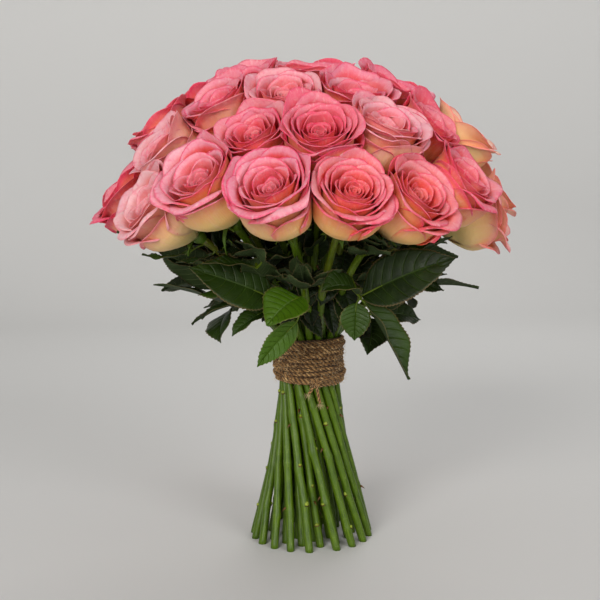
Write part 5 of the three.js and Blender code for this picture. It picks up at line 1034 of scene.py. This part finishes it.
def stalk(points, r0, r1):
    pts = soften(resample(np.array(points), 1.5), 3)
    V, Q, Tr = tube(pts, np.linspace(r0, r1, len(pts)), 7)
    inner.add(V, Q, Tr, [0.5, 0.5, 0, 0], [0.4, 0.15, 0, 0], 1)


for k in range(84):
    az = (k * 137.508 + rng.uniform(-8, 8)) % 360
    d = np.array([math.sin(math.radians(az)), -math.cos(math.radians(az)), 0])
    lat = np.array([math.cos(math.radians(az)), math.sin(math.radians(az)), 0])
    deep = k >= 46
    z = rng.uniform(205, 262) if not deep else rng.uniform(236, 318)
    reach = 1e9 if not deep else rng.uniform(5, 60) * (z - 190) / 90
    best, root = -1e9, None
    for P in STEMS:
        if P[-1, 2] > z + 12:
            p = on_stem(P, z)
            if abs(p @ lat) < 13 and p @ d > best and p @ d < reach:
                best, root = p @ d, p
    if root is None:
        continue
    joint = root + d * rng.uniform(4, 10) + np.array([0, 0, rng.uniform(2, 9)])
    inner = GROUPS[int(az // 60) % 6]
    stalk([root - d * 1.5, root + d * 2.0, joint], 1.3, 0.9)
    for q, (turn, ln) in enumerate([(rng.uniform(-18, 18), rng.uniform(38, 54)), (rng.uniform(50, 85), rng.uniform(28, 40)), (-rng.uniform(50, 85), rng.uniform(28, 40))]):
        el = rng.uniform(-22, 36)
        if deep:
            el = rng.uniform(5, 60)
        elif abs((az + 180) % 360 - 180) < 62:
            el = rng.uniform(2, 36)
            ln *= 0.9
        b0 = joint + d * (1.0 if q == 0 else -1.5)
        for tries in range(9):
            c, e = math.radians(turn), math.radians(el)
            v = (d * math.cos(c) + lat * math.sin(c)) * math.cos(e) + np.array([0, 0, math.sin(e)])
            tipp = b0 + v * (ln + 4)
            if not in_bloom(tipp, 1) and not in_bloom(b0 + v * ln * 0.6, 3):
                break
            el -= 10
        roll = rng.uniform(-0.5, 0.5)
        up = unit(np.array([0, 0, 1.0]) * math.cos(math.radians(el)) - d * math.sin(math.radians(el)) + np.cross(v, [0, 0, 1.0]) * roll + d * 0.25)
        st = b0 + v * 4
        stalk([joint, b0 + v * 1.5, st, st + v * 2], 0.8, 0.5)
        leaflet(st, tipp, up, ln * rng.uniform(0.50, 0.62), rng.uniform(-42, 20), rng.uniform(6, 22), 7000 + 10 * k + q, float(np.clip(rng.normal(0.02, 0.06), 0, 0.2)), 9 if deep else 13)
inner = GROUPS[6]
for k, l in enumerate(FRONT):
    line = leaflet(l["base"], l["tip"], l["up"], l["width"], l["bend"], l["fold"], 8000 + k, l["young"])
    stalk([l["root"], (np.array(l["root"]) + line[0]) / 2 + np.array([0, -1.0, 1.0]), line[0], line[6]], 1.0, 0.5)
for k, part in enumerate(GROUPS):
    ob = part.build("inner_leaves_%d" % (k + 1), [leaf_mat, stem_mat])
    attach(ob, "root")

# ------------------------------------------------------------------- the twine
TIE_LOW, TIE_HIGH, TIE_IN = 138.0, 179.2, 27.8


def ply_rope(parts, path, r_out, plies=2, lay=8.2, sides=6, seed=0, phase=0.0, fade=1.0):
    """A twisted rope: plies that wind round the path."""
    rng = np.random.default_rng(seed)
    T, N, B = frames_along(path)
    L = np.concatenate([[0], np.cumsum(np.linalg.norm(np.diff(path, axis=0), axis=1))])
    rp = r_out * 0.56
    off = r_out * 0.48
    for k in range(plies):
        a = 2 * math.pi * (L / lay + k / plies) + phase
        c = path + (N * np.cos(a)[:, None] + B * np.sin(a)[:, None]) * off
        wob = 1 + 0.10 * np.sin(L * 0.9 + rng.uniform(0, 6)) + 0.08 * np.sin(L * 0.31 + rng.uniform(0, 6))
        V, Q, Tr = tube(c, rp * wob, sides)
        m = len(path)
        A = np.zeros((len(V), 4))
        A[: m * sides, 0] = np.repeat(L / 100, sides)
        A[: m * sides, 1] = np.tile(np.abs(np.linspace(-1, 1, sides, endpoint=False)), m)
        A[:, 2] = (k + 0.5) / plies
        K = np.zeros((len(V), 4))
        K[:, 0] = rng.random()
        # painted shade weight: surface close to the rope's centre line sits in the grooves and gets a low weight, so it
        # is painted dark; fade lowers the weight for the whole rope
        far = np.linalg.norm(V[: m * sides].reshape(m, sides, 3) - path[:, None], axis=2) / r_out
        K[: m * sides, 1] = np.clip((far.ravel() - 0.40) / 0.60, 0, 1) * fade
        parts.add(V, Q, Tr, A, K, 0)


def hairs(parts, centres, normals, count, seed, lo=1.5, hi=6.0):
    rng = np.random.default_rng(seed)
    for _ in range(count):
        k = int(rng.integers(len(centres)))
        c, nrm = centres[k], normals[k]
        t0 = unit(rng.normal(0, 1, 3))
        d = unit(nrm * rng.uniform(0.25, 1.0) + t0 * 0.9)
        ln = rng.uniform(lo, hi)
        e = unit(np.cross(d, rng.normal(0, 1, 3)))
        s = np.linspace(0, 1, 4)
        pts = c[None] + d[None] * (s * ln)[:, None] + e[None] * ((s ** 2) * ln * rng.uniform(-0.5, 0.5))[:, None] + np.array([0, 0, -1.0])[None] * ((s ** 2) * ln * 0.2)[:, None]
        V, Q, Tr = tube(pts, np.array([0.09, 0.08, 0.06, 0.03]), 3)
        parts.add(V, Q, Tr, [rng.random(), 0.5, 0.5, 1.0], [rng.random(), 1, 0, 0], 0)


twine = Parts()
r_str = 1.62
turns = 11.4
rng = np.random.default_rng(77)
n = int(turns * 216)
a = np.linspace(0, turns * 2 * math.pi, n)
ph = rng.uniform(0, 6.28, 6)
zz = TIE_LOW + r_str + (TIE_HIGH - TIE_LOW - 2 * r_str) * (a / a[-1])
zz = zz + 0.65 * np.sin(a * 0.93 + ph[0]) + 0.5 * np.sin(2.1 * a + ph[1]) + 0.3 * np.sin(4.7 * a + ph[4])
zz = np.clip(zz, TIE_LOW + r_str * 0.9, TIE_HIGH - r_str * 0.9)
rr = TIE_IN + r_str * 0.85 + 0.35 * np.sin(1.7 * a + ph[2]) + 0.25 * np.sin(3.3 * a + ph[3])
path = np.stack([rr * np.sin(a), -rr * np.cos(a), zz], 1)
ply_rope(twine, path, r_str, sides=7, seed=1)
# a few slanting turns laid over the first ones
for q, (z0, z1, ph0, ph1, up0, up1) in enumerate([
        (161.0, 143.6, -2.5, 0.16, 0, 1), (143.4, 151.0, 0.18, 2.6, 1, 0), (149.0, 142.0, -1.9, 0.10, 0, 1),
        (152.0, 166.0, -2.0, 0.4, 0, 0), (172.0, 176.0, 0.6, 2.8, 0, 0), (146.0, 156.0, 2.4, 4.4, 0, 0)]):
    m = 120
    b = np.linspace(ph0, ph1, m)
    s = np.linspace(0, 1, m)
    lift = smooth(s / 0.14 if not up0 else np.ones(m)) * smooth((1 - s) / 0.14 if not up1 else np.ones(m))
    ro = TIE_IN + r_str * 0.85 + (r_str * (1.10 + 0.12 * (q % 2))) * lift
    zc = z0 + (z1 - z0) * smooth(s)
    path2 = np.stack([ro * np.sin(b), -ro * np.cos(b), zc], 1)
    ply_rope(twine, path2, r_str * 1.0, sides=6, seed=10 + q, phase=q)
# a thinner rope under the turns, with fade=0.35 so it is painted mostly in shade and the gaps between the turns look
# dark
under = np.stack([(TIE_IN + 0.9) * np.sin(a), -(TIE_IN + 0.9) * np.cos(a), np.clip(zz + 1.9, TIE_LOW + 1.2, TIE_HIGH - 1.2)], 1)
ply_rope(twine, under[::2], 1.3, plies=2, sides=5, seed=3, fade=0.35)
nrm = np.stack([np.sin(a), -np.cos(a), np.zeros_like(a)], 1)
hairs(twine, path + nrm * (r_str * 0.6), nrm, 1250, 5, 1.2, 5.0)
ob = twine.build("jute_wrap", [jute_mat])
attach(ob, "root")
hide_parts("twine_wrap")

knot = Parts()
kc = np.array([5.2, -(31.0 + 0.4 + 2.6), 143.0])
m = 150
s = np.linspace(0, 2 * math.pi, m, endpoint=False)
kx = 2.6 * (np.sin(s) + 1.6 * np.sin(2 * s)) * 0.62
kz = 2.3 * (np.cos(s) - 1.6 * np.cos(2 * s)) * 0.62
ky = -1.1 * np.sin(3 * s)
trefoil = kc + np.stack([kx, ky, kz], 1)
trefoil = np.vstack([trefoil, trefoil[:1]])
ply_rope(knot, trefoil, 1.55, sides=6, seed=31)
for q, pts in enumerate([
    [[5.4, kc[1], 142.0], [6.3, kc[1] - 0.5, 137.0], [7.2, kc[1] - 0.9, 131.0], [8.4, kc[1] - 0.6, 124.8]],
    [[4.6, kc[1], 141.5], [2.6, kc[1] - 0.4, 138.4], [0.6, kc[1] - 0.7, 136.2], [-0.8, kc[1] - 0.7, 133.6]]]):
    P = soften(resample(np.array(pts), 0.8), 8)
    ply_rope(knot, P, 1.45, sides=6, seed=40 + q)
    end = P[-1]
    dirn = unit(P[-1] - P[-4])
    hairs(knot, np.repeat(end[None], 4, 0) + rng.normal(0, 0.5, (4, 3)), np.repeat(dirn[None], 4, 0), 46, 60 + q, 2.0, 5.5)
hairs(knot, trefoil, np.repeat(np.array([[0, -1.0, 0]]), len(trefoil), 0), 60, 71, 1.5, 5.0)
ob = knot.build("jute_knot", [jute_mat])
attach(ob, "root")
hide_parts("twine_knot")

# ------------------------------------------------------- floor, light and camera
def plain_material(name, colour, rough):
    M = Nodes(name)
    nz = M.noise(M.pos(), 3.0, 2.0, 0.5)
    M.set(Base_Color=M.mix(M.math("MULTIPLY", nz, 0.06), colour, (0.6, 0.6, 0.6, 1)), Roughness=rough)
    return M.m


# a pale floor that curves up into a backdrop far behind
prof = [(-14.0, 0.0), (1.6, 0.0)]
for k in range(1, 13):
    t = k / 12 * math.pi / 2
    prof.append((1.6 + 1.2 * math.sin(t), 1.2 - 1.2 * math.cos(t)))
prof.append((2.8, 3.6))
me = bpy.data.meshes.new("floor")
vs, fs = [], []
for y, z in prof:
    vs += [(-14.0, y, z), (14.0, y, z)]
for k in range(len(prof) - 1):
    fs.append((2 * k, 2 * k + 1, 2 * k + 3, 2 * k + 2))
me.from_pydata(vs, [], fs)
for p in me.polygons:
    p.use_smooth = True
me.materials.append(plain_material("floor_paint", (0.70, 0.695, 0.68, 1), 0.7))
floor = bpy.data.objects.new("floor", me)
bpy.context.scene.collection.objects.link(floor)


def turn_of(x, y, z):
    """Euler angles of the rotation with these three axes."""
    return (math.atan2(y[2], z[2]), math.asin(-x[2]), math.atan2(x[1], x[0]))


def area(name, loc, target, size, watts, colour=(1, 1, 1)):
    d = bpy.data.lights.new(name, "AREA")
    d.shape = "DISK"
    d.size = size
    d.energy = watts
    d.color = colour
    o = bpy.data.objects.new(name, d)
    bpy.context.scene.collection.objects.link(o)
    o.location = loc
    z = unit(np.array(loc, float) - np.array(target, float))
    x = unit(np.cross([0, 0, 1.0], z))
    o.rotation_euler = turn_of(x, np.cross(z, x), z)
    return o


area("key", (-2.15, -4.95, 2.05), (0, 0, 0.25), 3.2, 216, (1.0, 0.985, 0.965))
area("fill", (3.1, -4.1, 1.9), (0, 0, 0.25), 2.8, 92, (0.99, 0.99, 1.0))
area("rim", (0.4, 1.6, 1.5), (0, 0, 0.3), 1.0, 7)
world = bpy.data.worlds.new("studio")
bpy.context.scene.world = world
world.use_nodes = True
world.node_tree.nodes["Background"].inputs[0].default_value = (1.0, 0.995, 0.985, 1)
world.node_tree.nodes["Background"].inputs[1].default_value = 0.29
bpy.context.scene.view_settings.view_transform = "Standard"

# camera: 880 mm in front of the bunch, looking down 5.4 degrees
D, ZC, CX, PITCH, ROLL = 880.0, 294.5, -7.5, math.radians(5.42), math.radians(0.8)
fwd = np.array([0, math.cos(PITCH), -math.sin(PITCH)])
rt = np.array([1.0, 0, 0])
upv = np.cross(rt, fwd)
R = rt * math.cos(ROLL) - upv * math.sin(ROLL)
U = upv * math.cos(ROLL) + rt * math.sin(ROLL)
loc = (np.array([CX, -D, ZC]) + SHIFT) * MM
cam = bpy.data.cameras.new("camera")
cam.sensor_width = 36.0
cam.lens = 60.0
cam.clip_end = 20.0
cob = bpy.data.objects.new("camera", cam)
bpy.context.scene.collection.objects.link(cob)
cob.location = loc
cob.rotation_euler = turn_of(R, U, -fwd)
bpy.context.scene.camera = cob
